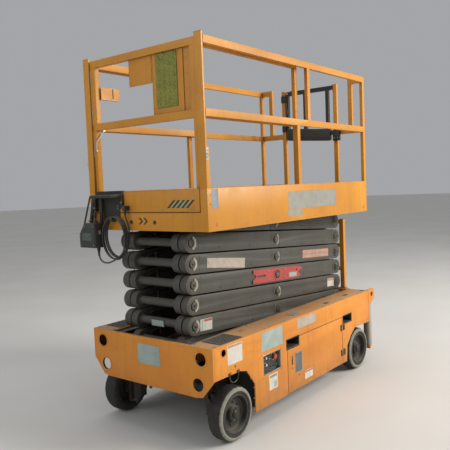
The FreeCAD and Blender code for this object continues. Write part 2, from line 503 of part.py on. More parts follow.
# ---------------------------------------------------------------- sliding extension
EY0, EY1 = 470.0, 518.0                           # front posts
EXT_X0 = -100.0
PX0, PX1 = 1104.0, 1143.5
LOW_Y0 = 486.0                                    # inner face of the front posts below the mid rail
ext_deck = fuse(box(EXT_X0, 1144, -500, 500, FLOOR_Z + 5.5, FLOOR_Z + 24),
                box(1144, 1157, -517, 517, 1592, TOE_Z),
                box(EXT_X0, PX0 - 0.5, 500, 505, FLOOR_Z + 5.5, TOE_Z), box(EXT_X0, PX0 - 0.5, -505, -500, FLOOR_Z + 5.5, TOE_Z))
node("extension_deck", ext_deck)
ext_front = fuse(rail(PX0, PX1, -EY1, EY1, RAIL_TOP_Z), rail(PX0, PX1, -EY1, EY1, RAIL_MID_Z),
                 box(PX0, PX1, EY0, EY1, RAIL_MID_Z - 5, RAIL_TOP_Z), box(PX0, PX1, -EY1, -EY0, RAIL_MID_Z - 5, RAIL_TOP_Z),
                 box(PX0, PX1, LOW_Y0, EY1, FLOOR_Z + 24.5, RAIL_MID_Z), box(PX0, PX1, -EY1, -LOW_Y0, FLOOR_Z + 24.5, RAIL_MID_Z))
SY0, SY1, REAR_POST = 486.0, 516.0, (-97.0, -62.0)
ext_side = fuse(rail(REAR_POST[0], PX0 + 2, SY0, SY1, RAIL_TOP_Z), rail(REAR_POST[0], PX0 + 2, SY0, SY1, RAIL_MID_Z),
                box(REAR_POST[0], REAR_POST[1], SY0, SY1, TOE_Z + 0.5, RAIL_TOP_Z),
                box(REAR_POST[0], REAR_POST[1], SY0, 499.5, FLOOR_Z + 24.5, TOE_Z + 5))
node("extension_guardrail", fuse(ext_front, ext_side, mirror_y(ext_side)))
# sheet panels hung between the front rails
node("front_panels", group(box(1120, 1123, -122, 104, 2478, RAIL_TOP_Z - RAIL_H - 0.5),
                           box(1120, 1123, 108, EY0 - 0.5, RAIL_MID_Z + 0.5, RAIL_TOP_Z - RAIL_H - 0.5)))
BR = (925.0, PX0 - 0.5, -485.5, -456.0, 2434.0, 2526.0)
node("control_bracket", fuse(box(*BR[:4], BR[4], BR[4] + 6), box(BR[0], BR[1], BR[2], BR[2] + 5.5, BR[4], BR[5]), box(BR[0], BR[1], BR[3] - 6, BR[3], BR[4], BR[5])))

# platform control box, hung outside the front toe board: console, tray frame, two arms and the box below
cb = [prism_yz([(-585, 1335), (-585, 1440), (-525, 1520), (-415, 1520), (-405, 1505), (-405, 1335)], 1190, 1281),
      box(1138, 1163, -465, -206, TOE_Z + 0.5, TOE_Z + 6), box(1138, 1143.5, -465, -206, 1700, TOE_Z + 6), box(1157.5, 1163, -510, -206, 1640, TOE_Z + 6)]
tray = prism_xy([(1157.5, -510), (1157.5, -206), (1262, -222), (1262, -455)], 1700, 1722)
tray = cut(tray, prism_xy([(1169, -498), (1169, -219), (1250, -233), (1250, -446)], 1690, 1730))
cb.append(tray)
for ya, yb, shift in ((-516, -490, -50), (-440, -414, 0)):              # arms that carry the box
    cb.append(box(1157.5, 1190, ya, yb, 1600, 1722))
    cb.append(prism_yz([(ya, 1722), (yb, 1722), (yb + shift, 1500), (ya + shift, 1500)], 1178, 1196))
cb.append(box(1157.5, 1176, -232, -206, 1640, 1722))
cb.append(prism_yz([(-455, 1718), (-470, 1718), (-583, 1438), (-568, 1438)], 1250, 1258))
# gland under the box, and the hook that carries the slack of the cable
GLAND_R = 13.0
HOOK_Y, HOOK_Z, HOOK_R = -266.0, 1545.0, 9.0
cb.append(cyl("z", 1214, -445, 1312, GLAND_R, 24))
cb.append(box(1162, 1166.5, HOOK_Y - 14, HOOK_Y + 14, HOOK_Z - 15, 1645))
cb.append(cyl("x", 1162, HOOK_Y, HOOK_Z, HOOK_R, 78))
cb.append(cyl("x", 1236, HOOK_Y, HOOK_Z, 15, 4))

# control cable: out of the gland, four slack turns over the hook, up into the block on the toe board
CABLE_D = 12.0
TURNS = [(132.5, 163.6), (124.0, 155.5), (129.5, 160.5), (120.0, 151.0)]   # half width and half height of each turn's polygon, front to rear
TURN_X, TURN_PITCH = 1229.0, 13.5
HANG_Z = HOOK_Z + HOOK_R + CABLE_D / 2 + 1
CABLE_PTS = [(1214, -445, 1312), (1214, -445, 1276), (1217, -424, 1240), (1221, -374, 1222), (1226, -305, 1228)]
for i in range(48):
    deg = 45 + 30 * i
    f = (deg - 45) / 360.0
    k = min(int(f), 3)
    g = min(k + 1, 3)
    a_, b_ = (TURNS[k][j] + (TURNS[g][j] - TURNS[k][j]) * (f - k) for j in (0, 1))
    t = math.radians(deg)
    CABLE_PTS.append((TURN_X - TURN_PITCH * f, HOOK_Y + a_ * math.sin(t), HANG_Z - b_ * math.cos(math.radians(15)) - b_ * math.cos(t)))
CABLE_PTS += [(1175, -181, 1308), (1174, -150, 1376), (1174, -146, 1450), (1178, -153, 1512), (1190, -165, 1562), (1190, -165, 1606)]


def cord_path(pts):
    """straight runs joined by tangent arcs, each arc as large as its two runs allow"""
    P = [V(*p) for p in pts]
    edges, radii, at_ = [], [], P[0]
    for i in range(1, len(P) - 1):
        a, b = P[i - 1] - P[i], P[i + 1] - P[i]
        la, lb = a.Length, b.Length
        a.normalize()
        b.normalize()
        turn = math.pi - math.acos(max(-1, min(1, a.dot(b))))
        t = 0.45 * min(la, lb)
        r = t / math.tan(turn / 2)
        radii.append(r)
        p, q = P[i] + a * t, P[i] + b * t
        bis = a + b
        bis.normalize()
        centre = P[i] + bis * (r / math.cos(turn / 2))
        mid = centre - bis * r
        edges.append(Part.LineSegment(at_, p).toShape())
        edges.append(Part.Arc(p, mid, q).toShape())
        at_ = q
    edges.append(Part.LineSegment(at_, P[-1]).toShape())
    return Part.Wire(edges), radii


wire, radii = cord_path(CABLE_PTS)
start = V(*CABLE_PTS[1]) - V(*CABLE_PTS[0])
prof = Part.Wire([Part.makeCircle(CABLE_D / 2, V(*CABLE_PTS[0]), start)])
cable = wire.makePipeShell([prof], True, False)
print("cable length", round(wire.Length, 1), "volume/section*length", round(cable.Volume / (math.pi * CABLE_D ** 2 / 4 * wire.Length), 4), "radii", [round(r) for r in radii])
node("control_cable", cable)
end = V(*CABLE_PTS[-1])
node("control_box", group(fuse(*cb), box(1157.5, 1204, end.y - 14, end.y + 14, end.z, end.z + 34)))

# ================================================================ write
if __name__ == "__main__":
    os.makedirs("parts", exist_ok=True)
    total = 0.0
    lo, hi = [1e9] * 3, [-1e9] * 3
    for name, shape in NODES.items():
        if not shape.isValid():
            print("NOT VALID", name)
        n = len(shape.Solids)
        b = shape.BoundBox
        lo = [min(lo[0], b.XMin), min(lo[1], b.YMin), min(lo[2], b.ZMin)]
        hi = [max(hi[0], b.XMax), max(hi[1], b.YMax), max(hi[2], b.ZMax)]
        total += shape.Volume
        print("%-26s solids %d  vol %.5f m3" % (name, n, shape.Volume / 1e9))
        shape.exportStep("parts/%s.step" % name)
    print("nodes", len(NODES), "volume", round(total / 1e9, 4), "box", [round(v, 2) for v in lo], [round(v, 2) for v in hi])
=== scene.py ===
import bpy, bmesh, math, json
from functools import lru_cache
from mathutils import Vector, Matrix, noise as mnoise
from mathutils.geometry import tessellate_polygon


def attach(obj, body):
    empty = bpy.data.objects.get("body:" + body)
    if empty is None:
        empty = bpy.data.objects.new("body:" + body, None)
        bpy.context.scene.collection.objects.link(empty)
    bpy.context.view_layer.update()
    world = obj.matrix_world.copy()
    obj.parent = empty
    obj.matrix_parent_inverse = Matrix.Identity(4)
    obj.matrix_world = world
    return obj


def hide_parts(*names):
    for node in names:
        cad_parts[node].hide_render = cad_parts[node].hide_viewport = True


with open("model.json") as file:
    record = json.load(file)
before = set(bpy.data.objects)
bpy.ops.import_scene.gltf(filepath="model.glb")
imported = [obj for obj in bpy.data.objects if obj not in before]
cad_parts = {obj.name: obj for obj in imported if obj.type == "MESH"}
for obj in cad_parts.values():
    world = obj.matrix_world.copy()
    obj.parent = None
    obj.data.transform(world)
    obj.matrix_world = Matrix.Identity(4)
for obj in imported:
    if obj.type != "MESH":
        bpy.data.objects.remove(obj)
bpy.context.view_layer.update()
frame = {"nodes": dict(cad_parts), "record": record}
NODES = frame["nodes"]
S = bpy.context.scene

# ================================================================ camera
CAM = Vector((4.03368, 3.01580, 1.76014))
YAW, PITCH, ROLL, FOCAL_PX = 218.595, 3.890, 2.309, 588.19


def camera():
    cy, sy = math.cos(math.radians(YAW)), math.sin(math.radians(YAW))
    cp, sp = math.cos(math.radians(PITCH)), math.sin(math.radians(PITCH))
    f = Vector((cy * cp, sy * cp, -sp))
    r = Vector((sy, -cy, 0))
    d = f.cross(r)
    cr, sr = math.cos(math.radians(ROLL)), math.sin(math.radians(ROLL))
    right, down = cr * r + sr * d, -sr * r + cr * d
    m = Matrix((right, -down, -f)).transposed().to_4x4()
    m.translation = CAM
    data = bpy.data.cameras.new("view")
    data.sensor_width, data.lens = 36.0, FOCAL_PX * 36.0 / 450.0
    o = bpy.data.objects.new("view", data)
    o.matrix_world = m
    S.collection.objects.link(o)
    S.camera = o


camera()

# ================================================================ materials


def lin(h):
    c = [int(h[i:i + 2], 16) / 255 for i in (1, 3, 5)]
    return tuple(x / 12.92 if x <= .04045 else ((x + .055) / 1.055) ** 2.4 for x in c) + (1.0,)


def shade(c, k):
    return tuple(x * k for x in c[:3]) + (1.0,)


class Graph:
    """a procedural material, its noise in the object's own coordinates"""

    def __init__(s, name):
        s.m = bpy.data.materials.new(name)
        s.m.use_nodes = True
        s.t = s.m.node_tree
        s.t.nodes.clear()
        s.out = s.new("ShaderNodeOutputMaterial")
        s.b = s.new("ShaderNodeBsdfPrincipled")
        s.t.links.new(s.b.outputs[0], s.out.inputs[0])
        s.tc = s.new("ShaderNodeTexCoord")
        s.co, s.no = s.tc.outputs["Object"], s.tc.outputs["Normal"]
        s._xyz = s._nz = None

    def new(s, kind, **props):
        n = s.t.nodes.new(kind)
        for k, v in props.items():
            setattr(n, k, v)
        return n

    def put(s, socket, v):
        if isinstance(v, bpy.types.NodeSocket):
            s.t.links.new(v, socket)
        else:
            socket.default_value = v

    def noise(s, scale, detail=4, rough=.55, stretch=None, dist=0.0):
        n = s.new("ShaderNodeTexNoise")
        v = s.co
        if stretch:
            mp = s.new("ShaderNodeMapping")
            s.put(mp.inputs["Vector"], v)
            mp.inputs["Scale"].default_value = stretch
            v = mp.outputs[0]
        s.put(n.inputs["Vector"], v)
        n.inputs["Scale"].default_value = scale
        n.inputs["Detail"].default_value = detail
        n.inputs["Roughness"].default_value = rough
        n.inputs["Distortion"].default_value = dist
        return n.outputs[0]

    def voronoi(s, scale, feature="F1", stretch=None):
        n = s.new("ShaderNodeTexVoronoi", feature=feature)
        v = s.co
        if stretch:
            mp = s.new("ShaderNodeMapping")
            s.put(mp.inputs["Vector"], v)
            mp.inputs["Scale"].default_value = stretch
            v = mp.outputs[0]
        s.put(n.inputs["Vector"], v)
        n.inputs["Scale"].default_value = scale
        return n.outputs[0]

    def mr(s, v, a, b, c=0.0, d=1.0):
        n = s.new("ShaderNodeMapRange")
        s.put(n.inputs[0], v)
        for i, x in enumerate((a, b, c, d)):
            n.inputs[i + 1].default_value = x
        return n.outputs[0]

    def op(s, kind, a, b=0.0):
        n = s.new("ShaderNodeMath", operation=kind)
        s.put(n.inputs[0], a)
        s.put(n.inputs[1], b)
        return n.outputs[0]

    def mix(s, fac, a, b, mode="MIX"):
        n = s.new("ShaderNodeMix", data_type="RGBA", blend_type=mode)
        s.put(n.inputs[0], fac)
        s.put(n.inputs[6], a)
        s.put(n.inputs[7], b)
        return n.outputs[2]

    def xyz(s, i):
        if s._xyz is None:
            s._xyz = s.new("ShaderNodeSeparateXYZ")
            s.put(s._xyz.inputs[0], s.co)
        return s._xyz.outputs[i]

    def up(s):
        if s._nz is None:
            s._nz = s.new("ShaderNodeSeparateXYZ")
            s.put(s._nz.inputs[0], s.no)
        return s._nz.outputs[2]

    # ambient occlusion mask; the materials darken their colour by it, which paints shade into corners and hollows
    def crevice(s, distance=.05):
        n = s.new("ShaderNodeAmbientOcclusion", samples=4)
        n.inputs["Distance"].default_value = distance
        return n.outputs["AO"]

    def edge(s, radius=.004):
        """0 on a flat face, 1 on a sharp outer or inner edge"""
        bv = s.new("ShaderNodeBevel", samples=4)
        bv.inputs["Radius"].default_value = radius
        geo = s.new("ShaderNodeNewGeometry")
        dot = s.new("ShaderNodeVectorMath", operation="DOT_PRODUCT")
        s.put(dot.inputs[0], bv.outputs[0])
        s.put(dot.inputs[1], geo.outputs["Normal"])
        return s.mr(dot.outputs["Value"], .995, .86)

    def bump(s, height, strength, distance, under=None):
        n = s.new("ShaderNodeBump")
        n.inputs["Strength"].default_value = strength
        n.inputs["Distance"].default_value = distance
        s.put(n.inputs["Height"], height)
        if under is not None:
            s.put(n.inputs["Normal"], under)
        return n.outputs[0]

    def end(s, color, rough, normal=None, metal=None, coat=None, spec=None):
        s.put(s.b.inputs["Base Color"], color)
        s.put(s.b.inputs["Roughness"], rough)
        if normal is not None:
            s.put(s.b.inputs["Normal"], normal)
        if metal is not None:
            s.put(s.b.inputs["Metallic"], metal)
        if coat is not None:
            s.b.inputs["Coat Weight"].default_value = coat
            s.b.inputs["Coat Roughness"].default_value = .25
        if spec is not None:
            s.b.inputs["Specular IOR Level"].default_value = spec
        return s.m


DUST = lin("#a89c88")
# dark brown for run marks and grime, also used for the painted shade in corners and hollows
DIRT_AND_SHADE = lin("#463a2c")
RUST = lin("#6b3a1e")


def paint(name, col, deep, worn="#5a5148", rough=.42, streak=.3, dust=.5, chips=.75, low=None, dents=.25, scuff=.3, crevice_shade_and_dirt=.5, edge_r=.004, dust_col=None):
    """sprayed paint that has worked outdoors: faded and mottled, run marks, dust on top, corners and hollows darkened
    with painted shade and grime, worn edges, chips
    """
    g = Graph(name)
    a, b = lin(col), lin(deep)
    big, mid, fine = g.noise(1.3, 5, .6), g.noise(8, 6, .62, dist=.4), g.noise(70, 3, .6)
    c = g.mix(g.mr(big, .32, .68), a, b)
    c = g.mix(g.mr(mid, .5, .78, 0, .3), c, shade(b, .78))
    c = g.mix(g.mr(fine, .4, .75, 0, .12), c, shade(b, .7))
    if streak:
        st = g.noise(1, 5, .6, stretch=(17, 17, 1.1))
        c = g.mix(g.mr(st, .54, .8, 0, streak), c, DIRT_AND_SHADE)
        pale = g.noise(1, 4, .5, stretch=(9, 9, .8))
        c = g.mix(g.mr(pale, .58, .85, 0, streak * .6), c, g.mix(.5, a, DUST))
    sc = g.noise(1, 3, .5, stretch=(3, 3, 130), dist=.15)
    scr = g.mr(g.op("ABSOLUTE", g.op("SUBTRACT", sc, .5)), .0, .004, scuff, 0)
    scr = g.op("MULTIPLY", scr, g.mr(mid, .52, .68))
    c = g.mix(scr, c, g.mix(.6, a, lin("#e8dcc4")))
    if low:
        z0, z1, k = low
        wet = g.op("MULTIPLY", g.mr(g.xyz(2), z0, z1, k, 0), g.mr(mid, .3, .66, .35, 1))
        c = g.mix(wet, c, lin("#6a5a46"))
    # painted shade with grime: darker where the occlusion mask finds corners and hollows
    c = g.mix(g.mr(g.crevice(.045), .3, .9, crevice_shade_and_dirt, 0), c, DIRT_AND_SHADE)
    if dust:
        d = g.op("MULTIPLY", g.mr(g.up(), .5, .97, 0, dust), g.mr(mid, .28, .68, .35, 1))
        c = g.mix(d, c, lin(dust_col) if dust_col else DUST)
    e = g.edge(edge_r)
    rub = g.op("MULTIPLY", e, g.mr(mid, .34, .62))
    c = g.mix(g.op("MULTIPLY", rub, .35), c, g.mix(.5, a, lin("#f2e6cf")))
    chip = g.mr(g.op("ADD", g.noise(38, 6, .72), g.op("MULTIPLY", e, .16)), .715, .735, 0, chips)
    c = g.mix(chip, c, g.mix(g.mr(fine, .4, .6), lin(worn), RUST))
    r = g.mr(mid, .3, .7, rough - .07, rough + .13)
    r = g.op("ADD", r, g.op("MULTIPLY", chip, .25))
    n = g.bump(g.noise(420, 2, .5), .06, .0006)
    n = g.bump(g.noise(3.2, 2, .5), dents, .006, n)
    n = g.bump(chip, -.5, .0006, n)
    return g.end(c, r, n, coat=None, spec=.45)


def bare_metal(name, col, deep, rough=.38, metal=1.0, rust=.35, grain=None, crevice_shade_and_dirt=.5):
    g = Graph(name)
    mid = g.noise(14, 6, .65)
    c = g.mix(g.mr(mid, .3, .7), lin(col), lin(deep))
    rst = g.mr(g.op("ADD", g.noise(26, 6, .7), g.op("MULTIPLY", g.noise(3, 3, .5), .4)), .78, .9, 0, rust)
    c = g.mix(rst, c, RUST)
    # painted shade with grime: darker in corners and hollows by the occlusion mask
    c = g.mix(g.mr(g.crevice(.02), .35, .9, crevice_shade_and_dirt, 0), c, DIRT_AND_SHADE)
    r = g.op("ADD", g.mr(mid, .3, .7, rough - .08, rough + .14), g.op("MULTIPLY", rst, .35))
    h = g.noise(1, 3, .5, stretch=grain) if grain else g.noise(300, 2, .5)
    n = g.bump(h, .12, .0005)
    return g.end(c, r, n, metal=g.mr(rst, 0, .4, metal, .1))


def plastic(name, col, deep, rough=.5, dust=.35, grain=500, spec=.5):
    g = Graph(name)
    mid = g.noise(10, 5, .6)
    c = g.mix(g.mr(mid, .35, .7), lin(col), lin(deep))
    sc = g.noise(1, 2, .5, stretch=(90, 4, 90))
    c = g.mix(g.mr(g.op("ABSOLUTE", g.op("SUBTRACT", sc, .5)), 0, .003, .25, 0), c, DUST)
    d = g.op("MULTIPLY", g.mr(g.up(), .3, .97, .08, dust), g.mr(mid, .3, .7, .3, 1))
    c = g.mix(d, c, DUST)
    # painted shade with grime: darker in corners and hollows by the occlusion mask
    c = g.mix(g.mr(g.crevice(.02), .35, .9, .4, 0), c, shade(DIRT_AND_SHADE, .6))
    n = g.bump(g.noise(grain, 2, .5), .12, .0005)
    return g.end(c, g.mr(mid, .3, .7, rough - .06, rough + .12), n, spec=spec)


def sticker(name, col, deep, rough=.45, fade=.35):
    g = Graph(name)
    mid, fine = g.noise(13, 6, .65), g.noise(90, 3, .6)
    c = g.mix(g.mr(mid, .35, .7), lin(col), lin(deep))
    c = g.mix(g.mr(fine, .55, .75, 0, fade), c, DUST)
    st = g.noise(1, 5, .6, stretch=(30, 30, 3))
    c = g.mix(g.mr(st, .55, .8, 0, .3), c, DIRT_AND_SHADE)
    e = g.edge(.006)
    c = g.mix(g.op("MULTIPLY", e, g.mr(mid, .4, .6, 0, .6)), c, DIRT_AND_SHADE)
    n = g.bump(g.noise(60, 3, .5), .15, .001)
    return g.end(c, g.mr(mid, .3, .7, rough - .08, rough + .12), n)


ORANGE = paint("orange_paint", "#e0902c", "#cc7c22", low=(.10, .46, .45), dust=.34, streak=.22)
ORANGE_RAIL = paint("orange_rail_paint", "#d49126", "#bb791b", streak=.16, dust=.3, dents=.12, scuff=.4)
DECK = paint("orange_deck_paint", "#d88f32", "#bc7828", streak=0, dust=.55, chips=.85, scuff=.5)
GREY = paint("arm_paint", "#4b4a43", "#3c3b35", worn="#70634f", streak=.2, dust=.36, chips=.6, dents=.18, rough=.46, scuff=.35, dust_col="#978b78")
RED = paint("red_paint", "#b24540", "#963630", worn="#4c3a32", streak=.2, dust=.3, chips=.85, rough=.48)
DARK = paint("dark_paint", "#34362f", "#26281f", worn="#5b574d", streak=.15, dust=.4, chips=.5, rough=.5, dust_col="#7d7666")
AXLE = paint("axle_paint", "#3f3d37", "#2d2b27", worn="#6b5a45", streak=.2, dust=.6, chips=.7, rough=.6, crevice_shade_and_dirt=.7)
RIM_P = paint("rim_paint", "#35332e", "#282622", worn="#5a4330", streak=0, dust=.35, chips=.8, rough=.55, crevice_shade_and_dirt=.7)
BLACK_P = paint("black_paint", "#23251f", "#191b17", worn="#4d4a43", streak=.12, dust=.35, chips=.45, rough=.42, dust_col="#6f6a5c")
ZINC = bare_metal("zinc_steel", "#b7b4aa", "#8d897d", .36)
STEEL = bare_metal("pin_steel", "#a39c8c", "#7b7468", .34, rust=.4)
DARK_STEEL = bare_metal("dark_steel", "#5d5850", "#3e3a34", .48, rust=.5)
CHROME = bare_metal("chrome_rod", "#cfd0d0", "#b4b5b5", .12, rust=.06, grain=(200, 200, 6), crevice_shade_and_dirt=.25)
BRASS = bare_metal("brass", "#b08d4a", "#8a6a33", .36, rust=.1)
DECK_STEEL = bare_metal("deck_steel", "#98968e", "#77736a", .42, rust=.3, metal=.85)
BLACK_PL = plastic("black_plastic", "#1f201e", "#161715", .48)
CTRL_PL = plastic("control_plastic", "#262d28", "#1c221d", .5, dust=.3)
STOP_PL = plastic("stop_plastic", "#6a2520", "#541b17", .42, dust=.2)
GREY_PL = plastic("grey_plastic", "#8d918e", "#757a78", .5)
WHITE_PL = plastic("battery_case", "#3b3d3f", "#2c2e30", .5)
RED_PL = plastic("red_plastic", "#b2231d", "#951b17", .35, dust=.15)
YELLOW_PL = plastic("yellow_plastic", "#d9b41f", "#bd9814", .42, dust=.2)
# pale blue; on the ground control switches it is a painted highlight standing for their glints
PALE_BLUE_AND_GLINT = plastic("pale_blue_plastic_and_glint", "#b9d2de", "#93aebd", .3, dust=.15)
GREEN_PL = plastic("green_plastic", "#3c8a4b", "#2d6c3a", .35, dust=.15)
NYLON = plastic("nylon", "#d5cfbf", "#b4ac98", .5, dust=.4)
HOSE = plastic("hose_rubber", "#1c1c1a", "#131312", .55, grain=900)
CABLE = plastic("cable_jacket", "#2a2c2a", "#1c1e1c", .38, dust=.5, grain=900)
SIGN_PALE = sticker("sign_pale_grey", "#c3c4bb", "#acada3")
SIGN_WHITE = sticker("sign_white", "#d6d2c6", "#bebaad")
SIGN_GREY = sticker("sign_grey", "#8b8a80", "#7a786e")
SIGN_TEAL = sticker("sign_pale_teal", "#a2b0a9", "#8e9c95")
SIGN_PINK = sticker("sign_pale_orange", "#b98c76", "#a57a64")
SIGN_RED = sticker("sign_red", "#b5483a", "#9b3b30")
SIGN_ORANGE = sticker("sign_orange", "#c8602c", "#b05022")
SIGN_SILVER = sticker("sign_silver", "#8f979e", "#7b8389")
SIGN_DARK = sticker("sign_dark", "#4f5a52", "#414a43")
BARE_PATCH = sticker("faded_patch", "#b3a99a", "#9f9484")
SHADE_PATCH = sticker("faded_patch_dark", "#98978c", "#86857a")
STRIPE_DARK = sticker("stripe_dark", "#2e2b25", "#23211c")
STRIPE_PALE = sticker("stripe_pale", "#aca56c", "#96905c")
COLUMN = paint("corner_column", "#b5b0a4", "#9d978a", worn="#5a5850", streak=.3, dust=.4, chips=.5, rough=.5, low=(.10, .40, .4))
TAPE = sticker("tread_tape", "#4c4f49", "#3a3d38", .85, .5)
REFLECT = plastic("amber_lens", "#c8541a", "#a8430f", .2, dust=.15)


def rubber(name, col, deep, dust, k):
    g = Graph(name)
    mid, fine = g.noise(22, 6, .65), g.noise(160, 3, .6)
    c = g.mix(g.mr(mid, .3, .7), lin(col), lin(deep))
    c = g.mix(g.mr(fine, .42, .72, 0, k), c, lin(dust))
    # painted shade with grime: darker in grooves and hollows by the occlusion mask
    c = g.mix(g.mr(g.crevice(.012), .3, .9, .55, 0), c, shade(DIRT_AND_SHADE, .6))
    c = g.mix(g.op("MULTIPLY", g.edge(.005), g.mr(mid, .35, .6, 0, .4)), c, lin(dust))
    n = g.bump(fine, .25, .0012)
    n = g.bump(g.noise(9, 3, .5), .15, .003, n)
    return g.end(c, g.mr(mid, .3, .7, .66, .86), n, spec=.35)


TREAD = rubber("tyre_tread", "#302f2c", "#242422", "#6d675a", .25)
WALL = rubber("tyre_sidewall", "#8c8b80", "#77766b", "#a8a394", .4)


def dimple_pad():
    g = Graph("green_pad")
    mid = g.noise(18, 5, .6)
    c = g.mix(g.mr(mid, .3, .7), lin("#8b8a2b"), lin("#75741f"))
    # painted shade: dark olive in the dimples' hollows by the occlusion mask
    c = g.mix(g.mr(g.crevice(.02), .3, .95, .6, 0), c, lin("#44431a"))
    c = g.mix(g.mr(g.noise(80, 3, .6), .55, .8, 0, .3), c, DUST)
    return g.end(c, g.mr(mid, .3, .7, .42, .6), g.bump(g.noise(300, 2, .5), .15, .0006))


PAD = dimple_pad()

# ================================================================ mesh primitives
AX = {"x": (1, 0, 0), "-x": (-1, 0, 0), "y": (0, 1, 0), "-y": (0, -1, 0), "z": (0, 0, 1), "-z": (0, 0, -1)}


def turn(axis):
    a = Vector(AX[axis] if isinstance(axis, str) else axis).normalized()
    return Vector((0, 0, 1)).rotation_difference(a).to_matrix().to_4x4()


def out_of(bm):
    bm.verts.index_update()
    r = (tuple(tuple(v.co) for v in bm.verts), tuple(tuple(v.index for v in f.verts) for f in bm.faces))
    bm.free()
    return r


@lru_cache(None)
def g_box(dx, dy, dz, r, seg):
    bm = bmesh.new()
    bmesh.ops.create_cube(bm, size=1)
    for v in bm.verts:
        v.co = Vector((v.co.x * dx, v.co.y * dy, v.co.z * dz))
    r = min(r, .45 * min(dx, dy, dz))
    if r > 1e-5:
        bmesh.ops.bevel(bm, geom=bm.edges[:], offset=r, segments=seg, profile=.5, affect="EDGES", clamp_overlap=True)
    return out_of(bm)


@lru_cache(None)
def g_lathe(prof, seg):
    v, f, rings = [], [], []
    for r, h in prof:
        if r < 1e-7:
            rings.append([len(v)] * seg)
            v.append((0, 0, h))
        else:
            rings.append(list(range(len(v), len(v) + seg)))
            v += [(r * math.cos(2 * math.pi * i / seg), r * math.sin(2 * math.pi * i / seg), h) for i in range(seg)]
    n = len(rings)
    closed = prof[0][0] > 1e-7 and prof[-1][0] > 1e-7
    for k in range(n if closed else n - 1):
        A, B = rings[k], rings[(k + 1) % n]
        for i in range(seg):
            q = (A[i], A[(i + 1) % seg], B[(i + 1) % seg], B[i])
            q = tuple(dict.fromkeys(q))
            if len(q) > 2:
                f.append(q)
    return tuple(v), tuple(f)


@lru_cache(None)
def g_prism(pts, t, r, seg):
    bm = bmesh.new()
    bot = [bm.verts.new((x, y, 0)) for x, y in pts]
    face = bm.faces.new(bot)
    top = bmesh.ops.extrude_face_region(bm, geom=[face])
    for v in top["geom"]:
        if isinstance(v, bmesh.types.BMVert):
            v.co.z += t
    bmesh.ops.recalc_face_normals(bm, faces=bm.faces[:])
    if r > 1e-5:
        bmesh.ops.bevel(bm, geom=[e for e in bm.edges if e.calc_face_angle(0) > .35], offset=min(r, .45 * t), segments=seg, profile=.5, affect="EDGES", clamp_overlap=True)
    return out_of(bm)


def rounded(a0, a1, b0, b1, r, n=3):
    """outline of a rectangle with round corners"""
    out = []
    for cx, cy, st in ((a1 - r, b1 - r, 0), (a0 + r, b1 - r, 90), (a0 + r, b0 + r, 180), (a1 - r, b0 + r, 270)):
        for i in range(n + 1):
            t = math.radians(st + 90 * i / n)
            out.append((round(cx + r * math.cos(t), 6), round(cy + r * math.sin(t), 6)))
    return tuple(out)


def catmull(pts, n):
    P = [Vector(p) for p in pts]
    if len(P) < 3 or n < 2:
        return P
    out = []
    for i in range(len(P) - 1):
        p0, p1, p2, p3 = P[max(i - 1, 0)], P[i], P[i + 1], P[min(i + 2, len(P) - 1)]
        for k in range(n):
            t = k / n
            out.append(.5 * ((2 * p1) + (p2 - p0) * t + (2 * p0 - 5 * p1 + 4 * p2 - p3) * t * t + (3 * p1 - p0 - 3 * p2 + p3) * t ** 3))
    return out + [P[-1]]


def g_tube(P, r, seg=8, closed=False):
    n = len(P)
    tang = []
    for i in range(n):
        a = P[(i - 1) % n] if closed or i else P[0]
        b = P[(i + 1) % n] if closed or i < n - 1 else P[-1]
        tang.append((b - a).normalized())
    ref = Vector((0, 0, 1)) if abs(tang[0].z) < .9 else Vector((1, 0, 0))
    u = (ref - tang[0] * ref.dot(tang[0])).normalized()
    v, f = [], []
    for i in range(n):
        if i:
            u = (u - tang[i] * u.dot(tang[i]))
            u = u.normalized() if u.length > 1e-6 else tang[i].orthogonal().normalized()
        w = tang[i].cross(u)
        rr = r[i] if isinstance(r, (list, tuple)) else r
        v += [tuple(P[i] + (u * math.cos(2 * math.pi * k / seg) + w * math.sin(2 * math.pi * k / seg)) * rr) for k in range(seg)]
    for i in range(n if closed else n - 1):
        a, b = i * seg, ((i + 1) % n) * seg
        f += [(a + k, a + (k + 1) % seg, b + (k + 1) % seg, b + k) for k in range(seg)]
    if not closed:
        f += [tuple(range(seg - 1, -1, -1)), tuple(range((n - 1) * seg, n * seg))]
    return v, f


PLANES = {"xy": lambda p: (p[0], p[1], p[2]), "xz": lambda p: (p[0], p[2], p[1]), "yz": lambda p: (p[2], p[0], p[1])}


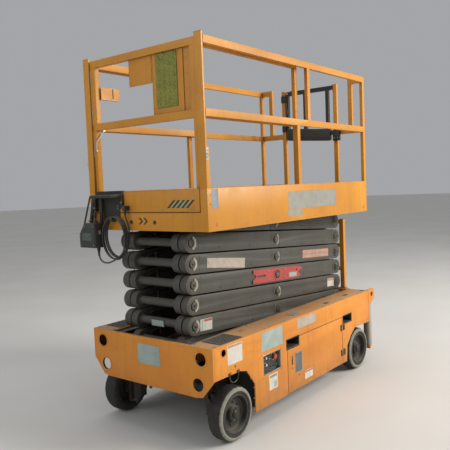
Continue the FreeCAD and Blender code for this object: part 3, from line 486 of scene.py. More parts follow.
class Shape:
    """one mesh of many small parts, each with its own material"""

    def __init__(s, name, body):
        s.name, s.body, s.v, s.f, s.mi, s.mats = name, body, [], [], [], []
        s.M = None

    def put(s, vf, mat, M=None, fn=None):
        v, f = vf
        b = len(s.v)
        if fn:
            v = [fn(p) for p in v]
        if M is not None:
            v = [M @ Vector(p) for p in v]
        if s.M is not None:
            v = [s.M @ Vector(p) for p in v]
        s.v += [tuple(p) for p in v]
        s.f += [tuple(i + b for i in q) for q in f]
        if mat not in s.mats:
            s.mats.append(mat)
        s.mi += [s.mats.index(mat)] * len(f)
        return s

    def box(s, lo, hi, mat, r=.0015, seg=1):
        lo, hi = [min(a, b) for a, b in zip(lo, hi)], [max(a, b) for a, b in zip(lo, hi)]
        d = [round(b - a, 6) for a, b in zip(lo, hi)]
        return s.put(g_box(*d, r, seg), mat, Matrix.Translation([(a + b) / 2 for a, b in zip(lo, hi)]))

    def lathe(s, p, axis, prof, mat, seg=24):
        return s.put(g_lathe(tuple(tuple(q) for q in prof), seg), mat, Matrix.Translation(p) @ turn(axis))

    def cyl(s, p, axis, r, h, mat, seg=20, ch=None):
        ch = min(.0012, .2 * r, .3 * h) if ch is None else ch
        return s.lathe(p, axis, [(0, 0), (r - ch, 0), (r, ch), (r, h - ch), (r - ch, h), (0, h)], mat, seg)

    def ring(s, p, axis, r0, r1, h, mat, seg=28, ch=.001):
        ch = min(ch, .3 * h, .3 * (r1 - r0))
        return s.lathe(p, axis, [(r0, ch), (r0 + ch, 0), (r1 - ch, 0), (r1, ch), (r1, h - ch), (r1 - ch, h), (r0 + ch, h), (r0, h - ch)], mat, seg)

    def prism(s, plane, pts, c0, c1, mat, r=.001, seg=1):
        c0, c1 = min(c0, c1), max(c0, c1)
        return s.put(g_prism(tuple(tuple(q) for q in pts), round(c1 - c0, 6), r, seg), mat, fn=lambda p: PLANES[plane]((p[0], p[1], p[2] + c0)))

    def label(s, plane, a0, a1, b0, b1, c, out, mat, r=.006, t=.0007):
        return s.prism(plane, rounded(min(a0, a1), max(a0, a1), min(b0, b1), max(b0, b1), r), c, c + out * t, mat, r=.0003)

    def bolt(s, p, axis, d=.010, mat=None, washer=True, button=False):
        mat = mat or ZINC
        M = Matrix.Translation(p) @ turn(axis) @ Matrix.Rotation(.4 + 7 * p[0] + 3 * p[2], 4, "Z")
        h0 = .2 * d if washer else 0
        if washer:
            s.put(g_lathe(tuple((round(a * d, 6), round(b * d, 6)) for a, b in ((0, -.05), (1.05, -.05), (1.12, .02), (1.12, .16), (1.05, .2), (0, .2))), 16), mat, M)
        if button:
            s.put(g_lathe(tuple((round(a * d, 6), round(h0 + b * d, 6)) for a, b in ((0, 0), (.92, 0), (.9, .22), (.7, .42), (.42, .5), (.4, .3), (0, .3))), 14), mat, M)
        else:
            s.put(g_lathe(tuple((round(a * d, 6), round(h0 + b * d, 6)) for a, b in ((0, 0), (.98, 0), (.98, .56), (.82, .66), (.5, .68), (0, .64))), 6), mat, M)
        return s

    def tube(s, pts, r, mat, seg=8, n=5, closed=False):
        P = catmull(pts, n)
        return s.put(g_tube(P, r, seg, closed), mat)

    def loop(s, p, axis, R, r, mat, seg=6, n=28):
        M = Matrix.Translation(p) @ turn(axis)
        P = [M @ Vector((R * math.cos(2 * math.pi * i / n), R * math.sin(2 * math.pi * i / n), 0)) for i in range(n)]
        return s.put(g_tube(P, r, seg, True), mat)

    def weld(s, pts, r, mat, closed=False):
        """a bead with its ripples"""
        P = [Vector(p) for p in pts]
        if closed:
            P.append(P[0])
        out, rad, k = [], [], 0
        for a, b in zip(P, P[1:]):
            n = max(2, int((b - a).length / .0055))
            for i in range(n):
                out.append(a.lerp(b, i / n))
                rad.append(r * (1.0 if k % 2 else .78) * (1 + .12 * mnoise.noise(out[-1] * 90)))
                k += 1
        if not closed:
            out.append(P[-1])
            rad.append(r * .5)
        return s.put(g_tube(out, rad, 6, closed), mat)

    def weld_ring(s, p, axis, R, r, mat, arc=360):
        M = Matrix.Translation(p) @ turn(axis)
        n = max(12, int(2 * math.pi * R * arc / 360 / .006))
        P = [M @ Vector((R * math.cos(math.radians(arc) * i / n), R * math.sin(math.radians(arc) * i / n), 0)) for i in range(n)]
        return s.put(g_tube(P, [r * (1 if i % 2 else .78) for i in range(n)], 6, arc == 360), mat)

    def weld_rect(s, lo, hi, plane, c, r, mat):
        """bead round a rectangular tube where it meets a face"""
        (a0, b0), (a1, b1) = lo, hi
        pts = [PLANES[plane]((a, b, c)) for a, b in ((a0, b0), (a1, b0), (a1, b1), (a0, b1))]
        return s.weld(pts, r, mat, True)

    def end(s, smooth=32):
        me = bpy.data.meshes.new(s.name)
        me.from_pydata(s.v, [], s.f)
        for m in s.mats:
            me.materials.append(m)
        me.polygons.foreach_set("material_index", s.mi)
        bm = bmesh.new()
        bm.from_mesh(me)
        bmesh.ops.recalc_face_normals(bm, faces=bm.faces[:])
        bm.to_mesh(me)
        bm.free()
        me.polygons.foreach_set("use_smooth", [True] * len(me.polygons))
        me.set_sharp_from_angle(angle=math.radians(smooth))
        me.update()
        o = bpy.data.objects.new(s.name, me)
        S.collection.objects.link(o)
        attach(o, s.body)
        return o


BODY_OF = {n: b for b, ns in frame["record"]["behaviour"]["bodies"].items() for n in ns}


def shell(node, mats, width=.0015, seg=2, angle=30, pick=None, smooth=32, name=None):
    """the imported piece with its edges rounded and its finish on; pick chooses the material by a face's centre and normal"""
    bm = bmesh.new()
    bm.from_mesh(NODES[node].data)
    bmesh.ops.remove_doubles(bm, verts=bm.verts[:], dist=3e-6)
    bmesh.ops.dissolve_limit(bm, angle_limit=math.radians(.5), verts=bm.verts[:], edges=bm.edges[:], use_dissolve_boundaries=False)
    if width:
        sharp = [e for e in bm.edges if len(e.link_faces) == 2 and e.calc_face_angle(0) > math.radians(angle)]
        bmesh.ops.bevel(bm, geom=sharp, offset=width, segments=seg, profile=.5, affect="EDGES", clamp_overlap=True)
    mats = mats if isinstance(mats, (list, tuple)) else [mats]
    if pick:
        for f in bm.faces:
            f.material_index = pick(f.calc_center_median(), f.normal)
    else:
        for f in bm.faces:
            f.material_index = 0
    me = bpy.data.meshes.new(name or node + "_finish")
    bm.to_mesh(me)
    bm.free()
    for m in mats:
        me.materials.append(m)
    me.polygons.foreach_set("use_smooth", [True] * len(me.polygons))
    me.set_sharp_from_angle(angle=math.radians(smooth))
    o = bpy.data.objects.new(name or node + "_finish", me)
    S.collection.objects.link(o)
    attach(o, BODY_OF[node])
    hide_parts(node)
    return o


# ================================================================ control cable, first of all
EXIT = (1.214, -.445, 1.312)
HOOK_Y, HOOK_Z, HOOK_R = -.266, 1.545, .009
TURNS = [(.1325, .1636), (.1240, .1555), (.1295, .1605), (.1200, .1510)]
HANG_Z = HOOK_Z + HOOK_R + .007
ROUTE = [EXIT, (1.214, -.445, 1.276), (1.217, -.424, 1.240), (1.221, -.374, 1.222), (1.226, -.305, 1.228)]
for i in range(48):
    f = i / 12
    k = min(int(f), 3)
    g_ = min(k + 1, 3)
    a, b = (TURNS[k][j] + (TURNS[g_][j] - TURNS[k][j]) * (f - k) for j in (0, 1))
    t = math.radians(45 + 30 * i)
    ROUTE.append((1.229 - .0135 * f, HOOK_Y + a * math.sin(t), HANG_Z - b * math.cos(math.radians(15)) - b * math.cos(t)))
ROUTE += [(1.175, -.181, 1.308), (1.174, -.150, 1.376), (1.174, -.146, 1.450), (1.178, -.153, 1.512), (1.190, -.165, 1.562), (1.190, -.165, 1.606)]
line = bpy.data.curves.new("control_lead", "CURVE")
line.dimensions = "3D"
sp = line.splines.new("NURBS")
sp.points.add(len(ROUTE) - 1)
for p, q in zip(sp.points, ROUTE):
    p.co = (*q, 1)
sp.order_u = 3
sp.use_endpoint_u = True
sp.resolution_u = 10
line.resolution_u = 10
line.bevel_depth = .006
line.bevel_resolution = 5
line.use_fill_caps = True
line.materials.append(CABLE)
lead = bpy.data.objects.new("control_lead", line)
S.collection.objects.link(lead)
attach(lead, "extension")
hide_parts("control_cable")

relief = Shape("cable_strain_relief", "extension")
relief.lathe((1.214, -.445, 1.3125), "-z", [(.0063, .001), (.0105, 0), (.0105, .006)] + [q for i in range(5) for q in ((.0102 - .0007 * i, .008 + .007 * i), (.0086 - .0004 * i, .010 + .007 * i), (.0086 - .0004 * i, .013 + .007 * i))] + [(.0064, .043), (.0063, .043)], BLACK_PL, 20)
relief.lathe((1.190, -.165, 1.6055), "-z", [(.0063, .001), (.0105, 0), (.0105, .006), (.0094, .010), (.0088, .020), (.0074, .032), (.0063, .032)], BLACK_PL, 20)
relief_o = relief.end()

# ================================================================ measures shared with the part
TH = math.radians(4.0)
ARM_L = 2.087
STEP = ARM_L * math.sin(TH)
BX, BZ = -1.044, .6425
FX = BX + ARM_L * math.cos(TH)
XF, XR = .940, -.940


def outer_at(k, s, n=0.0):
    return BX + s * math.cos(TH) - n * math.sin(TH), BZ + (k - 1) * STEP + s * math.sin(TH) + n * math.cos(TH)


def inner_at(k, s, n=0.0):
    return FX - s * math.cos(TH) + n * math.sin(TH), BZ + (k - 1) * STEP + s * math.sin(TH) + n * math.cos(TH)


# ================================================================ wheels
def tyre(name, cx, side, body):
    half = [(.1385, .0530), (.1415, .0580), (.147, .0606), (.1525, .0612), (.1552, .0609), (.1570, .0596), (.1590, .0596), (.1612, .0606), (.166, .0602), (.1710, .0586), (.1752, .0560),
            (.1790, .0526), (.1823, .0482), (.1850, .0432), (.1872, .0374), (.1887, .0310), (.1896, .0242), (.190, .0170), (.190, .0100), (.190, .003)]
    prof = half + [(r, -y) for r, y in reversed(half)]
    N, pitch = 360, 15.0
    v, f, mi = [], [], []
    for i in range(N):
        a = 360.0 * i / N
        for r, y in prof:
            d = 0.0
            if r > .178 and abs(y) > .012:
                off = (0 if y > 0 else pitch / 2) + (abs(y) - .012) * 95 * (1 if y > 0 else 1)
                ph = (a - off) % pitch
                ph = min(ph, pitch - ph)
                w = 1.0 if ph < 1.05 else (0.55 if ph < 1.9 else 0.0)
                d = .0024 * w * min(1, (abs(y) - .012) / .012)
            if r > .186:
                d += .00045 * mnoise.noise(Vector((math.cos(math.radians(a)) * 3 + cx, math.sin(math.radians(a)) * 3, y * 30)))
                d = max(d, 0)
            rr = r - d
            t = math.radians(a)
            v.append((cx + rr * math.cos(t), side * .527 + y, .190 + rr * math.sin(t)))
    n = len(prof)
    for i in range(N):
        for k in range(n):
            k2 = (k + 1) % n
            j = (i + 1) % N
            f.append((i * n + k, i * n + k2, j * n + k2, j * n + k))
            rm = (prof[k][0] + prof[k2][0]) / 2
            mi.append(1 if .1575 < rm < .1815 and (prof[k][1] + prof[k2][1]) * side > 0 else 0)
    me = bpy.data.meshes.new(name)
    me.from_pydata(v, [], f)
    me.materials.append(TREAD)
    me.materials.append(WALL)
    me.polygons.foreach_set("material_index", mi)
    bm = bmesh.new()
    bm.from_mesh(me)
    bmesh.ops.recalc_face_normals(bm, faces=bm.faces[:])
    bm.to_mesh(me)
    bm.free()
    me.polygons.foreach_set("use_smooth", [True] * len(me.polygons))
    me.set_sharp_from_angle(angle=math.radians(38))
    o = bpy.data.objects.new(name, me)
    S.collection.objects.link(o)
    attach(o, body)
    return o


for wname, cx, side in (("front_left", XF, 1), ("front_right", XF, -1), ("rear_left", XR, 1), ("rear_right", XR, -1)):
    body = wname + "_wheel"
    t = tyre(wname + "_tyre_rubber", cx, side, body)
    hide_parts(wname + "_tyre")
    w = Shape(wname + "_wheel_disc", body)
    c = (cx, side * .527, .190)
    ax = "y" if side > 0 else "-y"
    w.lathe(c, ax, [(.0302, .0375), (.0302, .0390), (.0525, .0392), (.0545, .0380), (.0556, .0350), (.0572, .0180), (.0592, .0130), (.0625, .0112), (.0930, .0112), (.0962, .0118),
                    (.1060, .0132), (.1120, .0165), (.1160, .0225), (.1185, .0330), (.1205, .0450), (.1228, .0520), (.1262, .0558), (.1300, .0573), (.1350, .0573), (.1374, .0560), (.1380, .0535),
                    (.1380, -.0535), (.1370, -.0565), (.1340, -.0573), (.1295, -.0570), (.1240, -.0540), (.1222, -.0480), (.1210, -.0050), (.1180, .0010), (.1120, .0040), (.1000, -.0010),
                    (.0960, -.0050), (.0600, -.0050), (.0560, -.0080), (.0530, -.0500), (.0510, -.0510), (.0302, -.0510)], RIM_P, 72)
    sg = side
    for i in range(8):
        t_ = math.radians(45 * i + 12)
        w.bolt((cx + .078 * math.cos(t_), sg * (.527 + .0112), .190 + .078 * math.sin(t_)), ax, .0088, DARK_STEEL)
    w.ring((cx, sg * .5665, .190), ax, .0310, .0500, .0035, DARK_STEEL, 36)
    w.lathe((cx, sg * .5665, .190), ax, [(0, 0), (.0300, 0), (.0300, .006), (.0285, .010), (.0235, .0135), (.0150, .0152), (.0040, .0158), (0, .0158)], BLACK_P, 32)
    for i in range(5):
        t_ = math.radians(72 * i + 30)
        w.bolt((cx + .0405 * math.cos(t_), sg * .5700, .190 + .0405 * math.sin(t_)), ax, .0048, DARK_STEEL, washer=False)
    # weld between disc and barrel, and the lip's hammered balance block
    w.weld_ring((cx, sg * (.527 + .0155), .190), ax, .1118, .0022, RIM_P)
    w.box((cx - .012, sg * (.527 + .0520), .190 - .1300), (cx + .012, sg * (.527 + .0578), .190 - .1235), DARK_STEEL, .001)
    o = w.end(38)
    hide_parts(wname + "_rim")

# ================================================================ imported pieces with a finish
shell("main_frame", AXLE, .002)
# the pockets take the dark paint: painted shade inside the openings
shell("fork_pockets", DARK, .0012)
shell("chassis_deck", DECK, .0018, 2)
shell("front_plate", ORANGE, .0022, 3)
# inner faces low down, the arch and pocket linings, take the dark paint: painted shade inside the recesses
for sd in ("left", "right"):
    shell(sd + "_side_panel", [ORANGE, DARK], .0012, 2, pick=lambda c, n: 1 if abs(c.y) < .5885 and c.z < .49 else 0)
shell("rear_panel", ORANGE, .0015, 2)
shell("ladder", ORANGE_RAIL, .0045, 3)
shell("front_axle", AXLE, .0025)
shell("rear_axle", [AXLE, STEEL], .0025, pick=lambda c, n: 1 if abs(c.y) > .457 else 0)
shell("lower_tracks", [GREY, STEEL], .001, 1, pick=lambda c, n: 1 if abs(c.y) < .331 else 0)
for sd in ("left", "right"):
    shell(sd + "_tray", [ORANGE, DARK, DARK_STEEL], .0016, 2, pick=lambda c, n: 2 if c.x < -.5965 and abs(c.y) > .589 and c.x < -.6005 else (1 if abs(c.y) < .5645 else 0))
shell("batteries", WHITE_PL, .004, 3)
shell("hydraulic_unit", [BLACK_P, GREY_PL], .003, 2, pick=lambda c, n: 1 if c.x < -.24 and c.z > .146 else 0)
shell("left_knuckle", AXLE, .002)
shell("right_knuckle", AXLE, .002)
shell("tie_rod", AXLE, .0015)


def pin_or_arm(k, outer):
    def pick(c, n):
        for s in (0, ARM_L / 2, ARM_L):
            px, pz = outer_at(k, s) if outer else inner_at(k, s)
            d = math.hypot(c.x - px, c.z - pz)
            if outer:
                if s == ARM_L and k == 6 and abs(c.y) > .3205 and d < .03:
                    return 1
            elif abs(c.y) > .262 and d < .036:
                return 1
        return 0
    return pick


for k in range(1, 7):
    shell("outer_arms_%d" % k, [GREY, STEEL], .003, 2, pick=pin_or_arm(k, True))
    shell("inner_arms_%d" % k, [GREY, DARK_STEEL], .003, 2, pick=pin_or_arm(k, False))
for n in ("lower_rollers", "upper_rollers"):
    shell(n, STEEL, .002, 2)
for i in (1, 2):
    shell("lift_cylinder_%d_barrel" % i, BLACK_P, .002)
    shell("lift_cylinder_%d_rod" % i, CHROME, .0015)
shell("platform_frame", ORANGE_RAIL, .0018, 2)
shell("platform_deck", DECK_STEEL, .001, 1)
shell("upper_tracks", [ORANGE_RAIL, STEEL], .0012, 1)
for n in ("left_guardrail", "right_guardrail", "rear_guardrails"):
    shell(n, ORANGE_RAIL, .0065, 3)
shell("extension_deck", [ORANGE_RAIL, DECK_STEEL], .0015, 2, pick=lambda c, n: 1 if n.z > .9 and c.z < 1.63 and c.x < 1.143 else 0)
shell("extension_guardrail", ORANGE_RAIL, .006, 3)
shell("front_panels", ORANGE_RAIL, .001, 1)
shell("control_bracket", ORANGE_RAIL, .0012, 1)
shell("ground_controls", [BLACK_PL, RED_PL, ZINC], .0015, 2, pick=lambda c, n: 0 if c.y < .5665 else (1 if math.hypot(c.x - .455, c.z - .470) < .022 and c.y > .575 else 2))
shell("rear_gate", BLACK_P, .005, 3)

# ================================================================ small pieces: helpers
MIR = Matrix.Diagonal((1, -1, 1, 1))


@lru_cache(None)
def g_plate(outline, holes, t, r, seg):
    loops = [[Vector((x, y, 0)) for x, y in l] for l in (outline,) + holes]
    bm = bmesh.new()
    vs = [bm.verts.new(p) for l in loops for p in l]
    for tri in tessellate_polygon(loops):
        bm.faces.new([vs[i] for i in tri])
    bmesh.ops.recalc_face_normals(bm, faces=bm.faces[:])
    top = bmesh.ops.extrude_face_region(bm, geom=bm.faces[:])
    for v in top["geom"]:
        if isinstance(v, bmesh.types.BMVert):
            v.co.z += t
    bmesh.ops.recalc_face_normals(bm, faces=bm.faces[:])
    if r > 1e-5:
        bmesh.ops.bevel(bm, geom=[e for e in bm.edges if e.calc_face_angle(0) > .35], offset=min(r, .45 * t), segments=seg, profile=.5, affect="EDGES", clamp_overlap=True)
    return out_of(bm)


def circ(x, y, r, n=20, a0=0.0):
    return tuple((round(x + r * math.cos(a0 + 2 * math.pi * i / n), 6), round(y + r * math.sin(a0 + 2 * math.pi * i / n), 6)) for i in range(n))


def plate(s, plane, outline, holes, c0, c1, mat, r=.001, seg=1):
    c0, c1 = min(c0, c1), max(c0, c1)
    return s.put(g_plate(tuple(tuple(q) for q in outline), tuple(tuple(h) for h in holes), round(c1 - c0, 6), r, seg), mat, fn=lambda p: PLANES[plane]((p[0], p[1], p[2] + c0)))


def arm_frame(k, outer):
    c, s = math.cos(TH), math.sin(TH)
    z = BZ + (k - 1) * STEP
    if outer:
        return Matrix(((c, 0, -s, BX), (0, 1, 0, 0), (s, 0, c, z), (0, 0, 0, 1)))
    return Matrix(((-c, 0, s, FX), (0, 1, 0, 0), (s, 0, c, z), (0, 0, 0, 1)))


def slotted(s, x0, x1, y0, y1, z, mat, slit, nx, ny):
    """an anti-slip plate with rows of slots"""
    s.prism("xy", rounded(x0, x1, y0, y1, .012), z, z + .0014, mat, r=.0005)
    px, py = (x1 - x0 - .02) / nx, (y1 - y0 - .016) / ny
    for i in range(nx):
        for j in range(ny):
            sh = .25 * px if j % 2 else -.05 * px
            cx, cy = x0 + .01 + px * (i + .4) + sh, y0 + .008 + py * (j + .5)
            if cx + .33 * px < x1 - .004:
                s.prism("xy", rounded(cx - .31 * px, cx + .31 * px, cy - .24 * py, cy + .24 * py, .2 * py, 2), z + .0012, z + .0019, slit, r=0)


def lozenges(s, x0, x1, y0, y1, z, mat, pitch=.034, h=.0011):
    """diamond tread"""
    nx, ny = int((x1 - x0) / pitch), int((y1 - y0) / pitch)
    L, W = .42 * pitch, .13 * pitch
    for i in range(nx):
        for j in range(ny):
            cx, cy = x0 + (x1 - x0) * (i + .5) / nx, y0 + (y1 - y0) * (j + .5) / ny
            a = math.radians(45 if (i + j) % 2 else -45)
            ca, sa = math.cos(a), math.sin(a)
            base = [(cx + u * ca - v * sa, cy + u * sa + v * ca, z) for u, v in ((L, 0), (0, W), (-L, 0), (0, -W))]
            top = [(cx + (p[0] - cx) * .55, cy + (p[1] - cy) * .55, z + h) for p in base]
            s.put((base + top, [(4, 5, 6, 7), (0, 1, 5, 4), (1, 2, 6, 5), (2, 3, 7, 6), (3, 0, 4, 7)]), mat)


# ================================================================ chassis, small pieces
Y = .595
ch = Shape("chassis_fittings", "chassis")
for side in (1, -1):
    ch.M = None if side > 0 else MIR
    for y, z in ((.490, .620), (.460, .444)):
        ch.ring((1.1838, y, z), "x", .0452, .0545, .0022, ORANGE, 44, .0009)
        ch.ring((1.1700, y, z), "x", .0440, .0462, .0140, DARK_STEEL, 44, .0004)
    # lashing ring at the top of the steering arch, in its two lugs
    ch.tube([(.922, .5962, .492), (.922, .5962, .462), (.936, .5962, .436), (.968, .5962, .4255), (1.000, .5962, .436), (1.015, .5962, .462), (1.016, .5962, .492)], .0046, DARK_STEEL, 10, 6)
    for x in (.922, 1.016):
        ch.box((x - .013, .5948, .486), (x + .013, .6016, .498), DARK_STEEL, .002, 2)
    ch.label("xz", .865, 1.032, .552, .686, Y, 1, SIGN_WHITE, .007)
    ch.label("xz", .871, 1.026, .668, .681, Y + .0006, 1, SIGN_PINK, .002, .0004)
    ch.bolt((.950, Y, .530), "y", .0060, DARK_STEEL, washer=False)
    # side hole's rim
    ch.ring((1.071, Y - .001, .650), "y", .0246, .0305, .0026, ORANGE, 36, .0008)
    # fixed leaves of the tray hinges
    for z, top in ((.207, .263), (.432, .479)):
        ch.box((-.650, .5945, z), (-.6155, .5980, top), DARK_STEEL, .001)
        for dx in (-.641, -.625):
            for zz in (z + .010, top - .010):
                ch.bolt((dx, .5978, zz), "y", .0042, DARK_STEEL, washer=False, button=True)
    # rivets round the arches and along the skirt
    for x, z in ((.748, .168), (.748, .245), (.748, .322), (.782, .398), (.838, .474), (.330, .150), (.450, .150), (.570, .150), (.690, .150), (-.635, .165), (-.640, .330), (-.716, .335), (-.800, .392), (-.860, .430), (-1.010, .428), (-1.120, .424)):
        if not (abs(x + .64) < .02 and .2 < z < .27):
            ch.bolt((x, Y - .0002, z), "y", .0048, ORANGE, washer=False, button=True)
    # stiffening bead over the arch
    ch.weld([(.731, .5905, .1335), (.731, .5905, .3455), (.8215, .5905, .4615), (.8935, .5905, .4815), (1.170, .5905, .4815)], .0022, ORANGE)
    ch.weld([(-.683, .5905, .138), (-.697, .5905, .2795), (-.7712, .5905, .353), (-.8542, .5905, .409), (-1.119, .5905, .401)], .0022, ORANGE)
    # pocket mouths
    for x0, x1 in ((.125, .311), (-.789, -.616)):
        ch.weld([(x0 + .001, .5955, .4825), (x1 - .001, .5955, .4825), (x1 - .001, .5955, .5610), (x0 + .001, .5955, .5610)], .0016, DARK, True)
    # deck
    slotted(ch, .828, 1.080, .404, .578, .702, TAPE, BLACK_PL, 7, 7)
    slotted(ch, .668, .736, .440, .500, .702, DECK, TAPE, 2, 3)
    for x, y, a in ((-.446, .528, .034), (-.843, .508, .034), (-1.112, .543, .030)):
        ch.prism("xy", rounded(x - a, x + a, y - .010, y + .010, .0098, 5), .7019, .7028, BLACK_PL, r=.0003)
        ch.prism("xy", rounded(x - a - .006, x + a + .006, y - .016, y + .016, .0158, 5), .7012, .7024, DARK_STEEL, r=.0004)
    ch.box((.010, .470, .7018), (.112, .548, .7046), GREY_PL, .0015)
    for dx in (.018, .104):
        for y in (.478, .540):
            ch.bolt((dx, y, .7044), "z", .0036, ZINC, washer=False, button=True)
    for x in (-1.130, -.960, -.640, -.300, .300, .500, .560, 1.130, 1.150):
        ch.bolt((x, .574, .7018), "z", .0058, ZINC, washer=True, button=True)
        ch.bolt((x, .408, .7018), "z", .0058, ZINC, washer=True, button=True)
    # folded lip of the well
    ch.weld([(-1.120, .3925, .7005), (1.160, .3925, .7005)], .0020, DECK)
    # steering: kingpin nuts, knuckle stops and hanger bolts
    ch.cyl((XF, .400, .0985), "z", .024, .0125, DARK_STEEL, 24)
    for dx in (-.022, .022):
        for z in (.165, .235):
            ch.bolt((XF + dx, .3355, z), "-y", .0075, DARK_STEEL)
        ch.bolt((XF + dx, .3570, .331), "y", .0085, DARK_STEEL)
    ch.weld_rect((XF - .034, .3355), (XF + .034, .3565), "xy", .3020, .0028, AXLE)
    # drive motor inboard of the rear wheel
    ch.lathe((XR, .4400, .190), "-y", [(0, 0), (.074, 0), (.074, .014), (.068, .018)] + [q for i in range(7) for q in ((.0660, .022 + .012 * i), (.0700, .0235 + .012 * i), (.0700, .0295 + .012 * i), (.0660, .031 + .012 * i))] + [(.064, .112), (.052, .120), (0, .120)], AXLE, 40)
    ch.box((XR - .028, .348, .250), (XR + .028, .408, .276), BLACK_PL, .003, 2)
    ch.tube([(XR + .026, .380, .262), (XR + .075, .372, .268), (XR + .130, .330, .262), (XR + .200, .2795, .250)], .0075, HOSE, 8, 6)
    for t_ in range(6):
        a_ = math.radians(60 * t_ + 15)
        ch.bolt((XR + .0475 * math.cos(a_), .4560, .1985 + .0475 * math.sin(a_) + .0), "y", .0052, DARK_STEEL, washer=False)
# front plate
ch.M = None
ch.label("yz", -.110, .113, .507, .652, 1.184, 1, SIGN_TEAL, .008)
ch.cyl((1.1780, 0, .3405), "z", .0110, .0125, BLACK_PL, 20)
ch.lathe((1.1780, 0, .3420), "-z", [(0, 0), (.0080, 0), (.0095, .003), (.0080, .0072), (0, .0080)], BLACK_PL, 16)
for y in (-.545, -.300, .300, .545):
    ch.bolt((1.1838, y, .683), "x", .0058, ORANGE, washer=False, button=True)
for y in (-.380, -.200, .200, .380):
    ch.bolt((1.1838, y, .372), "x", .0058, ORANGE, washer=False, button=True)
# steering cylinder behind the front beam
ch.cyl((XF - .073, -.130, .329), "y", .0215, .210, BLACK_P, 28)
ch.cyl((XF - .073, .078, .329), "y", .0100, .110, CHROME, 20)
ch.cyl((XF - .073, .070, .329), "y", .0250, .018, BLACK_P, 28)
ch.box((XF - .098, -.150, .306), (XF - .044, -.122, .352), AXLE, .002)
ch.box((XF - .098, .176, .306), (XF - .044, .200, .352), AXLE, .002)
for y in (-.100, .050):
    ch.cyl((XF - .073, y, .305), "z", .0080, .010, ZINC, 12)
    ch.tube([(XF - .073, y, .306), (XF - .073, y + .010, .290), (XF - .110, y + .060, .284), (XF - .190, .2785, .300), (XF - .30, .2790, .330)], .0060, HOSE, 8, 6)
# hydraulic and electric lines along the main frame, under the trays
for i, y in enumerate((.2835, .2965, .3095)):
    ch.tube([(-.880, y, .238 + .0 * i), (-.40, y, .236), (.10, y, .241), (.58, y, .236), (.640, y - .004, .262)], .0058, HOSE if i else CABLE, 8, 6)
for x in (-.75, -.45, -.15, .15, .45):
    ch.box((x - .008, .2752, .227), (x + .008, .3170, .2305), ZINC, .0008)
    ch.box((x - .008, .2752, .2455), (x + .008, .3170, .2485), ZINC, .0008)
# ground control station on the left only
for x in (.3780, .6310):
    for z in (.357, .526):
        ch.bolt((x, Y - .0002, z), "y", .0052, ZINC, washer=False, button=True)
ch.label("xz", .4000, .6090, .3790, .5040, .5660, 1, BLACK_PL, .004, .0010)
ch.ring((.455, .5668, .470), "y", .0250, .0300, .0022, STRIPE_PALE, 32)
ch.lathe((.455, .5890, .470), "y", [(0, 0), (.0205, 0), (.0208, .0012), (.0190, .0040), (.0120, .0052), (0, .0055)], RED_PL, 32)
# the two switch caps are pale blue as a painted highlight: the switches' glints put into their colour
for x, z, m in ((.560, .480, PALE_BLUE_AND_GLINT), (.560, .430, PALE_BLUE_AND_GLINT)):
    ch.ring((x, .5668, z), "y", .0095, .0150, .0030, ZINC, 24)
    ch.lathe((x, .5790, z), "y", [(0, 0), (.0098, 0), (.0098, .0020), (.0075, .0048), (0, .0056)], m, 20)
for x, z, m in ((.420, .400, GREEN_PL), (.455, .400, BLACK_PL), (.490, .400, BLACK_PL), (.596, .455, GREEN_PL)):
    ch.cyl((x, .5668, z), "y", .0062, .0060, m, 16)
ch.box((.498, .5668, .418), (.534, .5700, .490), BLACK_PL, .001)
ch.box((.508, .5698, .462), (.524, .5790, .470), GREY_PL, .001)
# right side: recess with the charging plug and the battery switch
ch.box((.3876, -.5700, .3666), (.6214, -.5640, .5164), DARK, .001)
for lo, hi in (((.3876, .3666), (.3936, .5164)), ((.6154, .3666), (.6214, .5164)), ((.3936, .3666), (.6154, .3726)), ((.3936, .5104), (.6154, .5164))):
    ch.box((lo[0], -.5945, lo[1]), (hi[0], -.5700, hi[1]), DARK, .001)
ch.box((.4120, -.5880, .3960), (.5060, -.5700, .4840), GREY_PL, .004, 2)
ch.box((.4220, -.5892, .4080), (.4960, -.5878, .4720), BLACK_PL, .001)
for x in (.4400, .4780):
    ch.cyl((x, -.5890, .4400), "-y", .0105, .0030, BRASS, 20)
    ch.cyl((x, -.5915, .4400), "-y", .0060, .0012, BLACK_PL, 16)
for x in (.4170, .5010):
    for z in (.4010, .4790):
        ch.bolt((x, -.5878, z), "-y", .0034, ZINC, washer=False, button=True)
ch.cyl((.5640, -.5700, .4560), "-y", .0260, .0070, STRIPE_PALE, 32)
ch.cyl((.5640, -.5768, .4560), "-y", .0120, .0080, BLACK_PL, 20)
ch.box((.5570, -.5935, .4340), (.5710, -.5840, .4780), RED_PL, .003, 2)
ch.label("xz", .5300, .5980, .3850, .4140, -.5700, -1, SIGN_PALE, .003)
ch.tube([(.4600, -.5790, .3960), (.4600, -.5800, .3860), (.4760, -.5800, .3800), (.5200, -.5790, .3790), (.6150, -.5790, .3810)], .0048, CABLE, 8, 6)
for x in (.3780, .6310):
    for z in (.357, .526):
        ch.bolt((x, -Y + .0002, z), "-y", .0052, ZINC, washer=False, button=True)
ch.label("xz", .442, .555, .238, .354, Y, 1, SIGN_WHITE, .004)
ch.label("xz", .452, .492, .250, .296, Y + .0006, 1, SIGN_TEAL, .002, .0004)
ch.label("xz", .452, .545, .328, .346, Y + .0006, 1, SIGN_GREY, .002, .0004)
ch.label("xz", .356, .636, .545, .685, Y, 1, SIGN_TEAL, .004, .0005)
ch.label("xz", -.153, .144, .608, .686, Y, 1, BARE_PATCH, .006, .0005)
ch.end()

